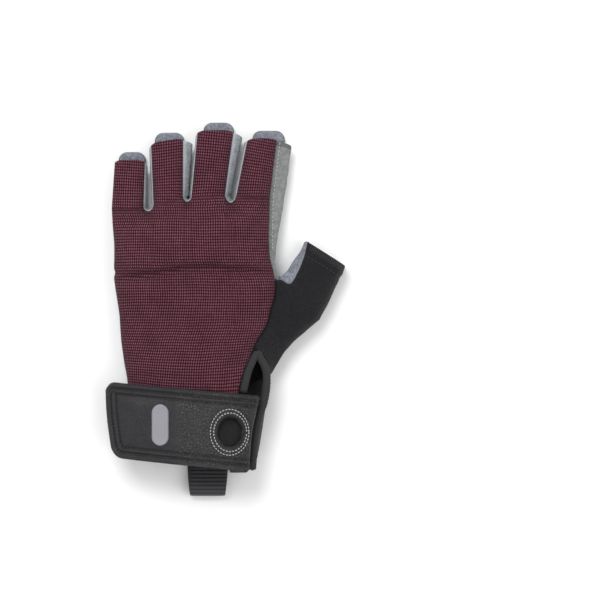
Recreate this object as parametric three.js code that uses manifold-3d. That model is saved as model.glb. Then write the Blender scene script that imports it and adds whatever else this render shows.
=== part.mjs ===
// Half-finger climbing glove for the left hand, lying palm down.
// Millimetres. +X points to the thumb side, +Y to the fingertips, +Z up.
import * as THREE from 'three';
import { mergeVertices } from 'three/addons/utils/BufferGeometryUtils.js';
import Module from 'manifold-3d';

const wasm = await Module();
wasm.setup();

// Main sizes
const KNUCKLE_BREADTH = 85.8;
const HAND_LENGTH = 102.6;
const FINGER_LENGTH = 35.4;
const HAND_HEIGHT = 25;
const SIDE_SEAM_HEIGHT = 9.5;
const FINGER_HEIGHT = 16;
const FINGER_SEAM_HEIGHT = 10.5;
const FINGER_UNDER_SEAM_HEIGHT = 4;
const FINGER_LIFT = 1.2;
const PALM_SETBACK = 3.4;
const THUMB_LENGTH = 25;
const THUMB_BREADTH = 28;
const THUMB_HEIGHT = 16.5;
const THUMB_ANGLE = 33.5;
const THUMB_CROTCH_WIDTH = 2;
const WRIST_DROP = 5;
const CUFF_WIDTH = 37;
const CUFF_LIFT = 3.2;

// Walls and clearances
const KNIT_WALL = 1.3;
const SUEDE_WALL = 1.8;
const FOURCHETTE_WALL = 1;
const THUMB_WALL = 1.3;
const CUFF_WALL = 1.8;
const ELASTIC_WALL = 1.6;
const SEAM_GAP = 0.4;
const CROTCH_TUCK = 2.5;

// Small parts
const STRAP_WALL = 2.2;
const STRAP_WIDTH = 39.6;
const STRAP_CORNER = 5;
const EYELET_BREADTH = 14;
const EYELET_LENGTH = 16.7;
const BADGE_BREADTH = 9;
const BADGE_LENGTH = 22;
const BADGE_WALL = 0.8;
const BINDING_BREADTH = 4.2;
const BINDING_HEIGHT = 3;
const PATCH_WALL = 0.7;
const TAB_WALL = 1.9;
const TAB_REACH = 7.6;
const TAB_CORNER = 4.5;
const WEBBING_WIDTH = 20;
const WEBBING_WALL = 1.1;
const LOOP_REACH = 20.5;
const LOOP_OPENING = 5.8;

// Each finger stall. Its breadth at the base and at the tip, its lean toward the thumb, the breadth
// of its pull tab and how far the tab is set toward the thumb are shares of KNUCKLE_BREADTH.
// How far its palm reaches past the knit on the thumb's side, under, is a share of SIDE_UNDER.
// Its length is a share of FINGER_LENGTH, and where its two base corners lie above the crotch line
// is a share of HAND_LENGTH.
const FINGERS = [
  { name: 'little', breadth: 0.204, tip: 0.194, lean: 0.0145, tab: 0.166, tab_set: 0.0105,
    under: 0.2, length: 0.73, base_left: -0.042, base_right: -0.042 },
  { name: 'ring', breadth: 0.189, tip: 0.206, lean: -0.0075, tab: 0.18, tab_set: 0.0125,
    under: 1, length: 0.921, base_left: -0.026, base_right: 0.0155 },
  { name: 'middle', breadth: 0.2145, tip: 0.23, lean: 0.0457, tab: 0.1855, tab_set: 0.0185,
    under: 1, length: 1, base_left: 0.0155, base_right: 0.026 },
  { name: 'index', breadth: 0.2145, tip: 0.19, lean: 0.056, tab: 0.197, tab_set: 0.04,
    under: 1, length: 0.876, base_left: 0.026, base_right: 0.0155 },
];

// Each crotch between two fingers: its width as a share of KNUCKLE_BREADTH, how far it dips below the
// crotch line as a share of HAND_LENGTH, and how far its grey side walls bulge at the left tip,
// at the base and at the right tip, as shares of CROTCH_BULGE.
const CROTCH_BULGE = 4.6;
const CROTCHES = [
  { name: 'little_ring', width: 0.0595, dip: 0.0555, bulge_left: 0.14, bulge_base: 0.24, bulge_right: 0.22 },
  { name: 'ring_middle', width: 0.05, dip: 0.005, bulge_left: 0.65, bulge_base: 0.22, bulge_right: 0.2 },
  { name: 'middle_index', width: 0.0685, dip: 0.0107, bulge_left: 0.59, bulge_base: 0.26, bulge_right: 0.33 },
];

// Outline and height of the back from the cuff's lower edge to the crotch line.
// along is a share of HAND_LENGTH, left and right of the knuckle breadth,
// top and right_edge of HAND_HEIGHT.
const BACK_ROWS = [
  { along: -0.38, left: -0.371, right: 0.355, top: 1, right_edge: 0.82 },
  { along: -0.16, left: -0.388, right: 0.355, top: 1, right_edge: 0.82 },
  { along: -0.06, left: -0.395, right: 0.305, top: 1, right_edge: 0.84 },
  { along: 0, left: -0.399, right: 0.299, top: 0.98, right_edge: 0.84 },
  { along: 0.07, left: -0.406, right: 0.318, top: 0.97, right_edge: 0.83 },
  { along: 0.14, left: -0.421, right: 0.346, top: 0.97, right_edge: 0.81 },
  { along: 0.2, left: -0.431, right: 0.381, top: 0.97, right_edge: 0.79 },
  { along: 0.26, left: -0.44, right: 0.415, top: 0.97, right_edge: 0.75 },
  { along: 0.34, left: -0.447, right: 0.475, top: 0.97, right_edge: 0.68 },
  { along: 0.42, left: -0.453, right: 0.503, top: 0.98, right_edge: 0.62 },
  { along: 0.5, left: -0.467, right: 0.529, top: 1, right_edge: 0.57 },
  { along: 0.58, left: -0.481, right: 0.529, top: 1.01, right_edge: 0.54 },
  { along: 0.62, left: -0.486, right: 0.522, top: 0.94, right_edge: 0.53 },
  { along: 0.645, left: -0.479, right: 0.513, top: 0.87, right_edge: 0.52 },
  { along: 0.67, left: -0.486, right: 0.505, top: 0.98, right_edge: 0.51 },
  { along: 0.72, left: -0.485, right: 0.497, top: 1.04, right_edge: 0.5 },
  { along: 0.8, left: -0.485, right: 0.494, top: 1.02, right_edge: 0.48 },
  { along: 0.9, left: -0.494, right: 0.497, top: 0.93, right_edge: 0.45 },
  { along: 1, left: -0.5, right: 0.5, top: 0.82, right_edge: 0.42 },
];
const HAND_STATIONS = [
  0, 0.07, 0.14, 0.2, 0.27, 0.34, 0.42, 0.5, 0.58, 0.62, 0.645, 0.67, 0.73, 0.8, 0.87, 0.94, 1,
];
const THUMB_CROTCH_ROW = 8;
const FINGER_STATIONS = [0.12, 0.3, 0.5, 0.75, 1];
const FINGER_COLUMNS = 6;
const FINGER_BLEND_START = 0.74;

// The index finger's side wall: its greatest reach past the palm edge, as a share of SIDE_BULGE,
// and how far the palm edge lies outside the knit edge, as a share of SIDE_UNDER.
const SIDE_BULGE = 6.6;
const SIDE_UNDER = 3;
const SIDE_ROWS = [
  { along: 0.58, bulge: 0.06, under: 0 },
  { along: 0.7, bulge: 0.38, under: 0.35 },
  { along: 0.85, bulge: 0.67, under: 0.7 },
  { along: 1, bulge: 0.91, under: 1 },
  { along: 2, bulge: 0.9, under: 1.2 },
];

// Rails of the thumb stall past its crotch. Lengths run along the thumb as shares of THUMB_LENGTH,
// breadths run across it as shares of THUMB_BREADTH, heights are shares of THUMB_HEIGHT.
const THUMB_ROWS = [
  { at: 0, seam_along: -0.01, seam_across: 0.03, seam_height: 0.8,
    inner_along: 0.02, inner_across: 0, inner_height: 0.72,
    outer_along: -0.24, outer_across: 1.11, under_along: -0.46, under_across: 0.71, crown: 1.03 },
  { at: 0.25, seam_along: 0.04, seam_across: 0.25, seam_height: 0.86,
    inner_along: 0.24, inner_across: 0.055, inner_height: 0.56,
    outer_along: 0.06, outer_across: 1.08, under_along: -0.12, under_across: 0.77, crown: 1 },
  { at: 0.5, seam_along: 0.34, seam_across: 0.25, seam_height: 0.85,
    inner_along: 0.48, inner_across: 0.05, inner_height: 0.5,
    outer_along: 0.38, outer_across: 1.035, under_along: 0.22, under_across: 0.77, crown: 0.97 },
  { at: 0.75, seam_along: 0.68, seam_across: 0.19, seam_height: 0.82,
    inner_along: 0.74, inner_across: 0.06, inner_height: 0.5,
    outer_along: 0.71, outer_across: 0.995, under_along: 0.6, under_across: 0.73, crown: 0.95 },
  { at: 1, seam_along: 1, seam_across: 0.09, seam_height: 0.78,
    inner_along: 0.98, inner_across: 0.03, inner_height: 0.5,
    outer_along: 1.02, outer_across: 0.93, under_along: 0.99, under_across: 0.68, crown: 0.93 },
];
const THUMB_STATIONS = [0.12, 0.25, 0.4, 0.55, 0.7, 0.85, 1];
const THUMB_PALM_COLUMNS = 7;
const THUMB_BACK_COLUMNS = 14;

// Where the thumb meets the wrist, as shares of KNUCKLE_BREADTH: the outer corner, the palm seam's
// lower end and the palm's own corner. Then the outer corner's height as a share of HAND_HEIGHT,
// the seam's rise as a share of HAND_LENGTH, and the bow of both edges.
const WRIST_OUTER = 0.506;
const WRIST_UNDER = 0.242;
const WRIST_PALM = 0.154;
const WRIST_OUTER_HEIGHT = 0.4;
const WRIST_RISE = 0.082;
const THUMB_EDGE_BOW = 2.7;
const HEEL_SHARE = 0.14;
const FRONT_START = 0.5;
const FRONT_END = 0.62;

// Slit binding: the right branch from the apex to the cuff's lower edge.
// x and y are shares of the knuckle breadth and of HAND_LENGTH, height of HAND_HEIGHT.
const BINDING_ROWS = [
  { x: 0.416, y: 0.192, height: 0.78 },
  { x: 0.438, y: 0.17, height: 0.76 },
  { x: 0.462, y: 0.135, height: 0.745 },
  { x: 0.478, y: 0.09, height: 0.735 },
  { x: 0.478, y: 0.02, height: 0.73 },
  { x: 0.462, y: -0.06, height: 0.735 },
  { x: 0.431, y: -0.14, height: 0.75 },
  { x: 0.412, y: -0.22, height: 0.76 },
  { x: 0.404, y: -0.32, height: 0.765 },
  { x: 0.398, y: -0.42, height: 0.77 },
];

// Outline of the closure strap. Its ends are shares of KNUCKLE_BREADTH at shares of STRAP_WIDTH
// below its top edge, which starts at STRAP_TOP and falls by STRAP_FALL, both shares of HAND_LENGTH.
const STRAP_ROWS = [
  { share: 0, left: -0.535, right: 0.434 },
  { share: 0.35, left: -0.529, right: 0.396 },
  { share: 0.6, left: -0.517, right: 0.379 },
  { share: 1, left: -0.488, right: 0.368 },
];
const STRAP_TOP = 0.041;
const STRAP_FALL = 0.072;
const STRAP_END_DROP = 1.5;
const STRAP_STAND = 3.4;
const STRAP_CENTRE = 0.03;
const STRAP_SPREAD = 0.585;
const EYELET_X = 0.252;
const EYELET_Y = -0.216;
const BADGE_X = -0.185;
const BADGE_Y = -0.178;

// Outline of the reinforcement patch under the index finger's base,
// as shares of the knuckle breadth and of HAND_LENGTH.
const PATCH_OUTLINE = [
  { x: 0.455, y: 0.95 },
  { x: 0.4, y: 0.945 },
  { x: 0.33, y: 0.905 },
  { x: 0.235, y: 0.845 },
  { x: 0.18, y: 0.79 },
  { x: 0.165, y: 0.73 },
  { x: 0.18, y: 0.675 },
  { x: 0.225, y: 0.64 },
  { x: 0.4, y: 0.64 },
  { x: 0.445, y: 0.655 },
  { x: 0.462, y: 0.71 },
  { x: 0.465, y: 0.8 },
];

// Centre of the webbing pull loop under the cuff, as a share of KNUCKLE_BREADTH. The small loops lie
// beside it: how far their centres are from its own and their breadth are shares of WEBBING_WIDTH,
// reach is a share of LOOP_REACH.
const PULL_LOOP_X = 0.116;
const HANG_LOOP_TUCK = 8;
const HANG_LOOP_OPENING = 2.4;
const HANG_LOOPS = [
  { name: 'hang_loop_little', beside: -0.905, breadth: 0.4, reach: 0.245 },
  { name: 'hang_loop_thumb', beside: 0.79, breadth: 0.475, reach: 0.39 },
];

// Numbers and curves

function mix(a, b, t) {
  return a + (b - a) * t;
}

function ease(t) {
  const s = Math.min(1, Math.max(0, t));
  return s * s * (3 - 2 * s);
}

function hermite(a, b, slopeA, slopeB, span, t) {
  const t2 = t * t;
  const t3 = t2 * t;
  return (
    (2 * t3 - 3 * t2 + 1) * a +
    (t3 - 2 * t2 + t) * span * slopeA +
    (3 * t2 - 2 * t3) * b +
    (t3 - t2) * span * slopeB
  );
}

// Reads one column of a table between its rows, along a smooth curve.
function column(table, key, at, argument = 'along') {
  const last = table.length - 1;
  let k = 0;
  while (k < last - 1 && at > table[k + 1][argument]) k += 1;
  const slope = (n) => {
    const before = table[Math.max(0, n - 1)];
    const after = table[Math.min(last, n + 1)];
    return (after[key] - before[key]) / (after[argument] - before[argument]);
  };
  const span = table[k + 1][argument] - table[k][argument];
  const t = Math.min(1, Math.max(0, (at - table[k][argument]) / span));
  return hermite(table[k][key], table[k + 1][key], slope(k), slope(k + 1), span, t);
}

// Follows a smooth curve through a few points, t from 0 to 1.
function through(points, t) {
  const last = points.length - 1;
  const k = Math.min(last - 1, Math.floor(t * last));
  const slope = (n) => {
    const before = points[Math.max(0, n - 1)];
    const after = points[Math.min(last, n + 1)];
    const steps = Math.min(last, n + 1) - Math.max(0, n - 1);
    return after.clone().sub(before).divideScalar(steps);
  };
  const a = points[k];
  const b = points[k + 1];
  const slopeA = slope(k);
  const slopeB = slope(k + 1);
  const s = t * last - k;
  return new THREE.Vector3(
    hermite(a.x, b.x, slopeA.x, slopeB.x, 1, s),
    hermite(a.y, b.y, slopeA.y, slopeB.y, 1, s),
    hermite(a.z, b.z, slopeA.z, slopeB.z, 1, s),
  );
}

// Height of a rounded section at a share across it: 0 at both edges, 1 in the middle.
function dome(share, power) {
  return Math.pow(Math.max(0, 1 - Math.pow(Math.abs(2 * share - 1), power)), 1 / power);
}

// Solids

function geometryFrom(positions, triangles) {
  const geometry = new THREE.BufferGeometry();
  const numbers = positions.flatMap((p) => p.toArray());
  geometry.setAttribute('position', new THREE.Float32BufferAttribute(numbers, 3));
  geometry.setIndex(triangles.flat());
  return geometry;
}

function volume(positions, triangles) {
  const cross = new THREE.Vector3();
  let sum = 0;
  for (const [a, b, c] of triangles) {
    cross.crossVectors(positions[b], positions[c]);
    sum += positions[a].dot(cross) / 6;
  }
  return sum;
}

// Makes a closed wall from a grid of points on its outer face. exists says which cells are cloth,
// facing is 1 where columns x rows points outward and -1 where it points inward, and direction
// may give the wall's direction at a point, from the outer face to the inner, in place of the
// grid's own inward direction, which it is handed.
function wall({ columns, rows, place, exists = () => true, facing = 1, thickness, direction = () => null }) {
  const points = [];
  const normals = [];
  for (let i = 0; i <= columns; i += 1) {
    points.push([]);
    normals.push([]);
    for (let j = 0; j <= rows; j += 1) {
      points[i].push(null);
      normals[i].push(new THREE.Vector3());
    }
  }
  const at = (i, j) => {
    if (!points[i][j]) points[i][j] = place(i, j);
    return points[i][j];
  };
  const inside = (i, j) => i >= 0 && j >= 0 && i < columns && j < rows && exists(i, j);
  for (let i = 0; i < columns; i += 1) {
    for (let j = 0; j < rows; j += 1) {
      if (!inside(i, j)) continue;
      const acrossDiagonal = at(i + 1, j + 1).clone().sub(at(i, j));
      const upDiagonal = at(i, j + 1).clone().sub(at(i + 1, j));
      const normal = acrossDiagonal.cross(upDiagonal).multiplyScalar(facing);
      for (const [a, b] of [[i, j], [i + 1, j], [i, j + 1], [i + 1, j + 1]]) normals[a][b].add(normal);
    }
  }
  const positions = [];
  const numbers = new Map();
  const number = (i, j, inner) => {
    const key = `${i},${j},${inner}`;
    if (!numbers.has(key)) {
      const outer = at(i, j).clone();
      if (inner) {
        const inward = normals[i][j].clone().normalize().negate();
        outer.addScaledVector(direction(i, j, inward) ?? inward, thickness);
      }
      numbers.set(key, positions.length);
      positions.push(outer);
    }
    return numbers.get(key);
  };
  const triangles = [];
  const quad = (a, b, c, d) => {
    triangles.push([a, b, c]);
    triangles.push([a, c, d]);
  };
  for (let i = 0; i < columns; i += 1) {
    for (let j = 0; j < rows; j += 1) {
      if (!inside(i, j)) continue;
      const corners = [[i, j], [i + 1, j], [i + 1, j + 1], [i, j + 1]];
      const outer = corners.map(([a, b]) => number(a, b, false));
      const inner = corners.map(([a, b]) => number(a, b, true));
      quad(outer[0], outer[1], outer[2], outer[3]);
      quad(inner[3], inner[2], inner[1], inner[0]);
      const neighbours = [[i, j - 1], [i + 1, j], [i, j + 1], [i - 1, j]];
      neighbours.forEach(([a, b], side) => {
        if (inside(a, b)) return;
        const next = (side + 1) % 4;
        quad(outer[side], inner[side], inner[next], outer[next]);
      });
    }
  }
  if (volume(positions, triangles) < 0) triangles.forEach((triangle) => triangle.reverse());
  return geometryFrom(positions, triangles);
}

function toSolid(geometry) {
  const bare = geometry.clone();
  bare.deleteAttribute('normal');
  bare.deleteAttribute('uv');
  const merged = mergeVertices(bare, 1e-5);
  const mesh = new wasm.Mesh({
    numProp: 3,
    vertProperties: new Float32Array(merged.attributes.position.array),
    triVerts: new Uint32Array(merged.index.array),
  });
  return new wasm.Manifold(mesh);
}

function fromSolid(solid) {
  const mesh = solid.getMesh();
  const geometry = new THREE.BufferGeometry();
  geometry.setAttribute('position', new THREE.Float32BufferAttribute(mesh.vertProperties, 3));
  geometry.setIndex([...mesh.triVerts]);
  return geometry;
}

// Column layout across the hand: each finger's columns crowd toward its edges, where it is round,
// and each crotch has two columns.

const columns = [];
const fingerStart = [];
{
  let left = -KNUCKLE_BREADTH / 2;
  FINGERS.forEach((finger, f) => {
    fingerStart.push(columns.length);
    for (let k = 0; k <= FINGER_COLUMNS; k += 1) {
      const share = (1 - Math.cos((Math.PI * k) / FINGER_COLUMNS)) / 2;
      columns.push({
        finger: f,
        share,
        x: left + share * finger.breadth * KNUCKLE_BREADTH,
        rise: mix(finger.base_left, finger.base_right, share) * HAND_LENGTH,
      });
    }
    left += finger.breadth * KNUCKLE_BREADTH;
    const crotch = CROTCHES[f];
    if (crotch) {
      const width = crotch.width * KNUCKLE_BREADTH;
      columns.push({ finger: null, x: left + width / 2, rise: -crotch.dip * HAND_LENGTH });
      left += width;
    }
  });
}
const lastColumn = columns.length - 1;
const handRows = HAND_STATIONS.length - 1;
const allRows = handRows + FINGER_STATIONS.length;

const across = (i) => columns[i].x / KNUCKLE_BREADTH + 0.5;
const inCrotch = (i) => columns[i].finger === null || columns[i + 1].finger === null;
const fingerShare = (j) => (j <= handRows ? 0 : FINGER_STATIONS[j - handRows - 1]);
const alongAt = (j) => (j <= handRows ? HAND_STATIONS[j] : 1 + fingerShare(j));

// Plan position of a grid point above the wrist line, the same for the back and the palm.
function plan(i, along, under = 0) {
  const { x, rise, finger, share } = columns[i];
  if (along <= 1) {
    const leftEdge = column(BACK_ROWS, 'left', along) * KNUCKLE_BREADTH;
    const rightEdge = column(BACK_ROWS, 'right', along) * KNUCKLE_BREADTH;
    const y = along * (HAND_LENGTH + rise);
    return new THREE.Vector2(mix(leftEdge, rightEdge, across(i)) + under * across(i), y);
  }
  const stall = FINGERS[finger];
  const s = along - 1;
  const centre = x + ((0.5 - share) * stall.breadth + stall.lean * s) * KNUCKLE_BREADTH;
  const breadth = mix(stall.breadth, stall.tip, s) * KNUCKLE_BREADTH;
  const base = ((stall.base_left + stall.base_right) / 2) * HAND_LENGTH;
  return new THREE.Vector2(
    centre + (share - 0.5) * breadth + under * stall.under * share,
    HAND_LENGTH + rise + s * (stall.length * FINGER_LENGTH - rise + base),
  );
}

function fingerTop(i, s) {
  const { finger, share } = columns[i];
  if (finger === null) return FINGER_SEAM_HEIGHT - 0.8;
  const height = FINGER_HEIGHT * mix(1.03, 0.92, s);
  return mix(FINGER_SEAM_HEIGHT, height, dome(share, 2.3));
}

function backHeight(i, along) {
  if (along > 1) return fingerTop(i, along - 1);
  const u = across(i);
  const top = column(BACK_ROWS, 'top', along) * HAND_HEIGHT;
  const edge = mix(SIDE_SEAM_HEIGHT, column(BACK_ROWS, 'right_edge', along) * HAND_HEIGHT, u);
  const hand = mix(edge, top, dome(u, 2.6));
  const blend = ease((along - FINGER_BLEND_START) / (1 - FINGER_BLEND_START));
  return mix(hand, fingerTop(i, 0), blend);
}

// The knit's wrist edge slopes down toward the thumb, and the slope dies out up the hand.
function wristSlope(i, along) {
  const fade = Math.min(1, Math.max(0, 1 - along / 0.5));
  return (0.5 - across(i)) * WRIST_DROP * fade * fade;
}

function backPoint(i, along) {
  const p = plan(i, along);
  return new THREE.Vector3(p.x, p.y + wristSlope(i, along), backHeight(i, along));
}

// Seams along the finger crotches and down the index finger's outer side. Each is a list of grid
// points, with the direction that faces out of the hand there, level with the surface it lies on.

function levelNormals(path) {
  return path.map((node, k) => {
    const before = path[Math.max(0, k - 1)];
    const after = path[Math.min(path.length - 1, k + 1)];
    const a = plan(before.i, alongAt(before.j));
    const b = plan(after.i, alongAt(after.j));
    const run = b.sub(a).normalize();
    return { ...node, normal: new THREE.Vector3(-run.y, run.x, 0) };
  });
}

const crotchSeams = CROTCHES.map((crotch, f) => {
  const rightEdge = fingerStart[f] + FINGER_COLUMNS;
  const path = [];
  for (let j = allRows; j >= handRows; j -= 1) path.push({ i: rightEdge, j });
  path.push({ i: rightEdge + 1, j: handRows });
  for (let j = handRows; j <= allRows; j += 1) path.push({ i: rightEdge + 2, j });
  return levelNormals(path);
});

const sideSeam = [];
for (let j = allRows; j >= THUMB_CROTCH_ROW; j -= 1) sideSeam.push({ i: lastColumn, j });
const indexSeam = levelNormals(sideSeam);

const littleSeam = [];
for (let j = 0; j <= allRows; j += 1) littleSeam.push({ i: 0, j, normal: new THREE.Vector3(-1, 0, 0) });

const seamNormal = new Map();
for (const seam of [...crotchSeams, indexSeam, littleSeam]) {
  for (const { i, j, normal } of seam) seamNormal.set(`${i},${j}`, normal);
}

// The wall runs level at a seam with a side wall, and straight down at a seam with a neighbour
// on the same face.
function backDirection(i, j, inward) {
  const normal = seamNormal.get(`${i},${j}`);
  if (normal) return normal.clone().negate();
  if (i === lastColumn) return new THREE.Vector3(0, 0, -1);
  return j === 0 ? acrossOnly(inward) : inward;
}

// Beside the wrist seam a wall leans neither toward the fingers nor toward the cuff.
function acrossOnly(inward) {
  return inward.clone().setY(0).normalize();
}

const fingerCell = (i, j) => j < handRows || !inCrotch(i);

function backPanel() {
  return wall({
    columns: lastColumn,
    rows: allRows,
    place: (i, j) => {
      const point = backPoint(i, alongAt(j));
      if (i === 0) point.z += SEAM_GAP / 2;
      return point;
    },
    exists: fingerCell,
    thickness: KNIT_WALL,
    direction: backDirection,
  });
}

// Thumb frame: its origin is the thumb crotch, which is a point of the knit's outer edge.

const crotchPlan = plan(lastColumn, HAND_STATIONS[THUMB_CROTCH_ROW]);
const thumbTurn = THREE.MathUtils.degToRad(THUMB_ANGLE);
const thumbAlong = new THREE.Vector2(Math.sin(thumbTurn), Math.cos(thumbTurn));
const thumbAcross = new THREE.Vector2(Math.cos(thumbTurn), -Math.sin(thumbTurn));

function thumbRail(rail, at, height) {
  const a = column(THUMB_ROWS, `${rail}_along`, at, 'at') * THUMB_LENGTH;
  const b = column(THUMB_ROWS, `${rail}_across`, at, 'at') * THUMB_BREADTH;
  const p = crotchPlan.clone().addScaledVector(thumbAlong, a).addScaledVector(thumbAcross, b);
  p.x += THUMB_CROTCH_WIDTH;
  return new THREE.Vector3(p.x, p.y, height);
}

const seamHeight = (at) => column(THUMB_ROWS, 'seam_height', at, 'at') * THUMB_HEIGHT;
const innerHeight = (at) => column(THUMB_ROWS, 'inner_height', at, 'at') * THUMB_HEIGHT;
const crownHeight = (at) => column(THUMB_ROWS, 'crown', at, 'at') * THUMB_HEIGHT;

function handPoint({ x, y }, height) {
  return new THREE.Vector3(x * KNUCKLE_BREADTH, y * HAND_LENGTH, height);
}

// The wrist seam runs straight across and curves up toward the thumb.
function wristLine(x) {
  const share = (x / KNUCKLE_BREADTH - WRIST_PALM) / (WRIST_OUTER - WRIST_PALM);
  return WRIST_RISE * HAND_LENGTH * Math.pow(Math.min(1, Math.max(0, share)), 2);
}

function wristPoint(share, height) {
  const x = share * KNUCKLE_BREADTH;
  return new THREE.Vector3(x, wristLine(x), height);
}

// The underside lies on the surface but for the heel of the hand, which rises to the cuff,
// because the cuff's webbing lies under it, and the fingers, which the patch lifts.
function liftUnder(point) {
  const heel = CUFF_LIFT * (1 - ease((point.y - wristLine(point.x)) / (HEEL_SHARE * HAND_LENGTH)));
  const front = FINGER_LIFT * ease((point.y / HAND_LENGTH - FRONT_START) / (FRONT_END - FRONT_START));
  const lift = point.x < crotchPlan.x ? heel + front : heel;
  point.z = Math.max(0, point.z);
  point.z += lift * Math.max(0, 1 - point.z / SIDE_SEAM_HEIGHT);
  return point;
}

// Lower thumb edges, from the wrist at 0 to the crotch row at 1.
function lowerEdge(wrist, crotch, r) {
  const run = crotch.clone().sub(wrist);
  const bow = new THREE.Vector3(-run.y, run.x, 0).normalize().multiplyScalar(THUMB_EDGE_BOW);
  return wrist.clone().addScaledVector(run, r).addScaledVector(bow, Math.sin(Math.PI * r));
}

const crotchShare = HAND_STATIONS[THUMB_CROTCH_ROW];
const wristOuter = wristPoint(WRIST_OUTER, WRIST_OUTER_HEIGHT * HAND_HEIGHT);
const wristUnder = wristPoint(WRIST_UNDER, 0);

const outerEdge = (r) => lowerEdge(wristOuter, thumbRail('outer', 0, THUMB_HEIGHT * 0.5), r);
const underEdge = (r) => lowerEdge(wristUnder, thumbRail('under', 0, 0), r);

// A point of the palm-side thumb seam, moved by half the seam gap to the given side.
function underSeam(outer, under, side) {
  const way = outer.clone().sub(under).setZ(0).normalize();
  return under.clone().addScaledVector(way, (side * SEAM_GAP) / 2);
}

// Palm

const palmLast = lastColumn + 1 + THUMB_PALM_COLUMNS;
const palmRim = (share) => Math.max(0, 1 - 1.003 * dome(share, 7));

function palmRightHeight(along) {
  if (along >= crotchShare) {
    const t = (along - crotchShare) / (1 - crotchShare);
    return mix(THUMB_HEIGHT * 0.66, FINGER_UNDER_SEAM_HEIGHT, ease(t * 1.6));
  }
  return THUMB_HEIGHT * 0.66 * Math.exp(-((crotchShare - along) * HAND_LENGTH) / 5);
}

function palmHandPoint(i, j) {
  const along = alongAt(j);
  const { finger, share } = columns[i];
  const u = across(i);
  const under = SIDE_UNDER * column(SIDE_ROWS, 'under', Math.max(crotchShare, along));
  const p = plan(i, along, along >= crotchShare ? under : 0);
  if (along < crotchShare) {
    const r = along / crotchShare;
    const wrist = wristPoint(WRIST_PALM, 0);
    const inner = wrist.lerp(new THREE.Vector3(crotchPlan.x, crotchPlan.y, 0), r);
    const leftEdge = column(BACK_ROWS, 'left', along) * KNUCKLE_BREADTH;
    p.x = mix(leftEdge, inner.x, u);
  }
  const rim = palmRim(u);
  const side = u < 0.5 ? SIDE_SEAM_HEIGHT : palmRightHeight(along);
  const hand = liftUnder(new THREE.Vector3(p.x, p.y, rim * (side - SEAM_GAP / 2)));
  if (along > 1) p.y -= PALM_SETBACK * (along - 1);
  if (along <= FINGER_BLEND_START) return hand;
  const onLittleSide = finger === 0 && share < 0.5;
  const edge = onLittleSide ? SIDE_SEAM_HEIGHT - SEAM_GAP / 2 : FINGER_UNDER_SEAM_HEIGHT;
  const between = FINGER_UNDER_SEAM_HEIGHT + 0.6;
  const stall = finger === null ? between : mix(FINGER_LIFT, edge, 1 - dome(share, 3.2));
  const blend = ease((along - FINGER_BLEND_START) / (1 - FINGER_BLEND_START));
  return new THREE.Vector3(p.x, p.y, mix(hand.z, stall, blend));
}

function palmThumbPoint(i, j) {
  const c = (i - lastColumn - 1) / THUMB_PALM_COLUMNS;
  if (j < THUMB_CROTCH_ROW) {
    const along = alongAt(j);
    const r = along / crotchShare;
    const inner = palmHandPoint(lastColumn, j);
    const height = inner.z;
    const under = underSeam(outerEdge(r), underEdge(r), -1);
    inner.x += THUMB_CROTCH_WIDTH;
    inner.y += wristLine(inner.x) * (1 - r);
    const near = inner.clone().lerp(under, 0.12).setZ(height * 0.6);
    const middle = inner.clone().lerp(under, 0.45).setZ(0);
    return liftUnder(through([inner, near, middle, under], c));
  }
  const at = j === THUMB_CROTCH_ROW ? 0 : THUMB_STATIONS[j - THUMB_CROTCH_ROW - 1];
  const seam = thumbRail('seam', at, seamHeight(at));
  const inner = thumbRail('inner', at, innerHeight(at));
  const outer = thumbRail('outer', at, 0);
  const under = underSeam(outer, thumbRail('under', at, 0), -1);
  const way = outer.clone().sub(seam).setZ(0).normalize();
  seam.addScaledVector(way, -SEAM_GAP / 2);
  seam.z -= CROTCH_TUCK * (1 - ease(at / THUMB_STATIONS[1]));
  const low = inner.clone().lerp(under, 0.2).setZ(0.9);
  const flat = inner.clone().lerp(under, 0.55).setZ(0);
  const point = through([seam, inner, low, flat, under], c);
  point.z = Math.max(0, point.z);
  return point;
}

function palmPlace(i, j) {
  return i <= lastColumn ? palmHandPoint(i, j) : palmThumbPoint(i, j);
}

function palmCell(i, j) {
  if (i < lastColumn) return fingerCell(i, j);
  if (i === lastColumn) return j < THUMB_CROTCH_ROW;
  return j < THUMB_CROTCH_ROW + THUMB_STATIONS.length;
}

function palmDirection(i, j, inward) {
  const normal = i <= lastColumn ? seamNormal.get(`${i},${j}`) : null;
  if (normal) return normal.clone().negate();
  if (i === palmLast) return new THREE.Vector3(0, 0, 1);
  if (i === lastColumn + 1 && j >= THUMB_CROTCH_ROW) {
    if (j === THUMB_CROTCH_ROW) return new THREE.Vector3(-thumbAlong.x, -thumbAlong.y, 0);
    return new THREE.Vector3(0, 0, -1);
  }
  return j === 0 ? acrossOnly(inward) : inward;
}

function palmPanel() {
  return wall({
    columns: palmLast,
    rows: allRows,
    place: palmPlace,
    exists: palmCell,
    facing: -1,
    thickness: SUEDE_WALL,
    direction: palmDirection,
  });
}

// Side walls between the palm's edge and the knit's edge, bulging out between them.
function sideWall(seam, bulgeAt) {
  const steps = 4;
  return wall({
    columns: seam.length - 1,
    rows: steps,
    place: (k, q) => {
      const { i, j, normal } = seam[k];
      const low = palmHandPoint(i, j);
      const high = backPoint(i, alongAt(j));
      low.z += SEAM_GAP;
      high.z -= SEAM_GAP;
      const share = q / steps;
      const reach = bulgeAt(k) * Math.sin(Math.PI * share);
      return low.lerp(high, share).addScaledVector(normal, reach);
    },
    facing: -1,
    thickness: FOURCHETTE_WALL,
    direction: (k) => seam[k].normal.clone().negate(),
  });
}

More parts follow.
